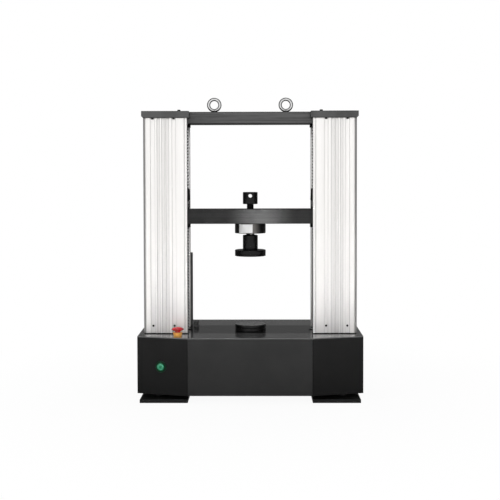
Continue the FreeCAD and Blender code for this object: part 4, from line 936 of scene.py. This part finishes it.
# The adapter over the crosshead, with the hole for its cross pin
PIN_R = 6
PIN_REACH = 30
PIN_DOWN = 12.4
neck = top + 15.7
head = neck + 39
ADAPTER_RINGS = [(11, 0.3), (11, neck), (22.5, neck), (24, neck + 1.5), (24, head - 1.5), (22.5, head),
                 (12, head), (12, head - 26)]
adapter = lathe(ADAPTER_RINGS, (0, LOAD_Y, CROSSHEAD_LOW.z), 0.3 * MM, 96)
pin_z = CROSSHEAD_LOW.z + (head - PIN_DOWN) * MM
cutter = lathe([(PIN_R, -PIN_REACH), (PIN_R, PIN_REACH)], (0, LOAD_Y, pin_z), 0, 48, FRONT)
bore(adapter, cutter)
bpy.ops.object.shade_smooth_by_angle(angle=SMOOTH_BELOW)
dress(adapter, "pin_adapter", "crosshead_unit", "black_steel", "black_steel", "upper_adapter")


# Emergency stop

COLLAR_RINGS = [(11, -40), (11, 0), (12.5, 0), (12.5, 2), (13.6, 6), (15, 10), (15, 12), (8.05, 12),
                (8.05, -1)]
collar = lathe(COLLAR_RINGS, (ESTOP_X, ESTOP_Y, DECK_Z), 0.3 * MM, 72)
dress(collar, "stop_collar", "base", "stop_yellow", "stop_yellow", "estop_collar")
PLUNGER_RINGS = [(8, 3.3), (8, 16.6), (4, 16.6), (4, 26)]
dress(lathe(PLUNGER_RINGS, (ESTOP_X, ESTOP_Y, DECK_Z), 0.2 * MM, 48), "stop_plunger", "estop_slider",
      "black_plastic", "stop_red", "estop_plunger")
HEAD_RINGS = [(4.05, 26.05), (4.05, 16.65), (13, 16.65), (17, 19.25), (19.4, 20.9), (20, 21.9), (19.4, 22.8),
              (18, 24.2), (16, 25.8), (13.6, 27.4), (11, 28.6), (8.5, 29.3), (6, 29.7), (3, 29.95), (0.5, 30)]
dress(lathe(HEAD_RINGS, (ESTOP_X, ESTOP_Y, DECK_Z), 0.25 * MM, 96, None, 3), "stop_mushroom", "estop_knob",
      "stop_red", "stop_red", "estop_head")


# Power button

BEZEL_RINGS = [(11, -16), (11, 0), (18, 0), (18, 2.2), (17.2, 3.2), (14.6, 3.5), (11.8, 3.5), (11.8, 0.5),
               (6.05, 0.5), (6.05, -8)]
dress(lathe(BEZEL_RINGS, POWER_FACE, 0.25 * MM, 72, POWER_OUT), "button_bezel", "base", "black_plastic",
      "bezel_black", "power_bezel")
LENS_RINGS = [(6, -5.7), (6, 2.8), (11.5, 2.8), (11.5, 4.7), (11, 5.3), (9.6, 5.8), (6.5, 6.05), (0.5, 6.1)]
dress(lathe(LENS_RINGS, POWER_FACE, 0.2 * MM, 72, POWER_OUT), "button_lens", "power_button_unit",
      "button_green", "button_green", "power_button")


# Control box and connectors

BOX_LOW, BOX_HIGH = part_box("control_box")
BOX_CORNER_R = 8 * MM
LID_EDGE = 9 * MM
LID_GROOVE_WIDTH = 0.8 * MM
LID_GROOVE_DEPTH = 1.2 * MM
BOX_SCREW_IN = 26 * MM
BOX_SCREW_UP = 18 * MM
BOX_SCREW_HEAD = (2.6, 1.8)


def control_box():
    """A box with rounded upright edges and a groove round the lid in its rear face."""
    cuboid(BOX_LOW, BOX_HIGH)
    pick("edges", lambda e: abs(e.verts[0].co.z - e.verts[1].co.z) > 10 * MM)
    bpy.ops.mesh.bevel(offset=BOX_CORNER_R, segments=6, affect="EDGES")
    pick("faces", lambda f: f.normal.y > 0.99)
    bpy.ops.mesh.inset(thickness=LID_EDGE)
    bpy.ops.mesh.inset(thickness=LID_GROOVE_WIDTH, depth=-LID_GROOVE_DEPTH)
    bpy.ops.mesh.inset(thickness=LID_GROOVE_WIDTH, depth=LID_GROOVE_DEPTH)
    close_up()
    leave()
    settle((0, 0, 0))
    return soften(1.6 * MM, 3, 60)


dress(control_box(), "control_case", "base", "control_grey", "control_grey", "control_box")
for i, (x, z) in enumerate(((0, 0), (1, 0), (0, 1), (1, 1))):
    place = (BOX_LOW.x + BOX_SCREW_IN + x * (BOX_HIGH.x - BOX_LOW.x - 2 * BOX_SCREW_IN), BOX_HIGH.y,
             BOX_LOW.z + BOX_SCREW_UP + z * (BOX_HIGH.z - BOX_LOW.z - 2 * BOX_SCREW_UP))
    dress(lathe(button_rings(*BOX_SCREW_HEAD), place, 0.1 * MM, 20, BACK), f"control_screw_{i + 1}", "base",
          "zinc_steel", "zinc_steel")

plug_low, plug_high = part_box("sensor_connectors")
PLUG_R = 9
PLUG_RINGS = [(PLUG_R, 0), (PLUG_R, 2.3), (8.2, 2.9), (6.5, 2.9), (6.5, 4.7), (6.1, 5), (6.1, 5.8),
              (6.5, 6.1), (6.5, 8.6), (7.6, 8.6), (8, 9.1), (8, 11.5), (7.5, 11.8), (7.5, 12.4), (8, 12.7),
              (8, 15.1), (7.5, 15.4), (7.5, 16), (8, 16.3), (8, 17.6), (7.4, 18)]
plug_x = 0.5 * (plug_low.x + plug_high.x)
for i, y in enumerate((plug_low.y + PLUG_R * MM, plug_high.y - PLUG_R * MM)):
    dress(lathe(PLUG_RINGS, (plug_x, y, DECK_Z), 0.2 * MM, 48), f"sensor_plug_{i + 1}", "base",
          "connector_metal", "connector_metal", "sensor_connectors")


# Finishes of the nodes that stay

OWN_SKIN = {"deck_cover": "deck_paint", "crosshead": "crosshead_grey", "left_corner_panel": "corner_shade_paint",
            "right_corner_panel": "corner_shade_paint"}
for part in frame["record"]["subparts"]:
    node = frame["nodes"][part["node"]]
    skin = OWN_SKIN.get(part["node"], part["material_slot"])
    node.data.materials.clear()
    node.data.materials.append(SKIN[skin])


# Stage, light and camera

# Brightness of the surroundings in mirror images, except in front, and in the light on dull surfaces
DIM_MIRROR = 0.14
AMBIENT = 0.5


def floor():
    """White to the camera with a trace of shadow near the machine, and dim in mirrors except in front."""
    deselect()
    bpy.ops.mesh.primitive_plane_add(size=14, location=(0, 0, 0))
    piece = bpy.context.object
    piece.name = "studio_floor"
    finish = Finish("studio_floor", (0.9, 0.9, 0.9), 0.8, Specular_IOR_Level=0.1)
    speckle = finish.noise(0.3, 3)
    finish.shade(speckle, 0.98)
    white = finish.node("ShaderNodeEmission", {}, {"Color": (1, 1, 1, 1), "Strength": 1.0})
    camera = finish.node("ShaderNodeLightPath", {}, {}, "Is Camera Ray")
    away = finish.node("ShaderNodeVectorMath", {"operation": "LENGTH"}, {0: finish.place()}, "Value")
    share = 0.94 + 0.06 * finish.band(away, 0.4, 1.2)
    lit = Signal(finish, finish.surface.outputs[0])
    glossy = finish.node("ShaderNodeLightPath", {}, {}, "Is Glossy Ray")
    dim = finish.node("ShaderNodeEmission", {}, {"Color": (1, 1, 1, 1), "Strength": DIM_MIRROR})
    in_front = finish.band(0 - finish.along("Y"), 0.3, 1.3)
    mirrored = finish.node("ShaderNodeMixShader", {}, {0: in_front, 1: dim, 2: white})
    seen = finish.node("ShaderNodeMixShader", {}, {0: share * camera, 1: lit, 2: white})
    surface = finish.node("ShaderNodeMixShader", {}, {0: glossy, 1: seen, 2: mirrored})
    finish.join(finish.tree.nodes["Material Output"].inputs["Surface"], surface)
    piece.data.materials.append(finish.material)


def studio():
    """White to the camera, bright only in front in reflections, plain for the rest."""
    world = bpy.data.worlds.new("studio")
    bpy.context.scene.world = world
    world.use_nodes = True
    shader = Shader(world.node_tree)
    direction = shader.node("ShaderNodeTexCoord", output="Generated")
    forward = 0 - shader.node("ShaderNodeSeparateXYZ", {}, {0: direction}, "Y")
    mirror = DIM_MIRROR + (1 - DIM_MIRROR) * shader.band(forward, 0.3, 0.9)
    camera = shader.node("ShaderNodeLightPath", {}, {}, "Is Camera Ray")
    glossy = shader.node("ShaderNodeLightPath", {}, {}, "Is Glossy Ray")
    plain = (1 - camera) * (1 - glossy)
    background = world.node_tree.nodes["Background"]
    shader.join(background.inputs["Strength"], camera + glossy * mirror + AMBIENT * plain)
    shader.join(background.inputs["Color"], (1, 1, 1, 1))


def lamp(name, place, target, width, height, power, glints, spread=180):
    """A panel of light turned to its target, its power in watts and its spread in degrees.

    Without glints it shows in no mirror image.
    """
    light = bpy.data.lights.new(name, "AREA")
    light.shape = "RECTANGLE"
    light.size = width
    light.size_y = height
    light.energy = power
    light.spread = math.radians(spread)
    piece = bpy.data.objects.new(name, light)
    bpy.context.scene.collection.objects.link(piece)
    piece.location = place
    piece.rotation_euler = (Vector(target) - Vector(place)).to_track_quat("-Z", "Y").to_euler()
    piece.visible_glossy = glints


floor()
studio()
lamp("front_box", (0.3, -3.6, 1.6), (0, 0, 0.5), 1.0, 2.0, 38, False)
lamp("left_box", (-2.6, -1.6, 2.0), (0, 0, 0.45), 1.4, 1.4, 20, False)
lamp("top_box", (0.6, 0.4, 3.2), (0, 0, 0.3), 1.8, 1.8, 18, True)
lamp("back_box", (-1.2, 3.4, 1.6), (0, 0, 0.4), 2.0, 1.6, 14, False)
lamp("low_box", (0, -3.6, 0.4), (0, 0, 0.24), 2.0, 0.2, 0.8, False, 16)

camera = bpy.data.cameras.new("camera")
camera.lens = 69.45
camera.shift_y = -0.0823
camera.sensor_width = 36
eye = bpy.data.objects.new("camera", camera)
bpy.context.scene.collection.objects.link(eye)
eye.location = (0.027, -3.1714, 0.6993)
eye.rotation_euler = (math.radians(90 - 1.8), math.radians(0.127), math.radians(0.504))
bpy.context.scene.camera = eye
bpy.context.scene.view_settings.view_transform = "Standard"
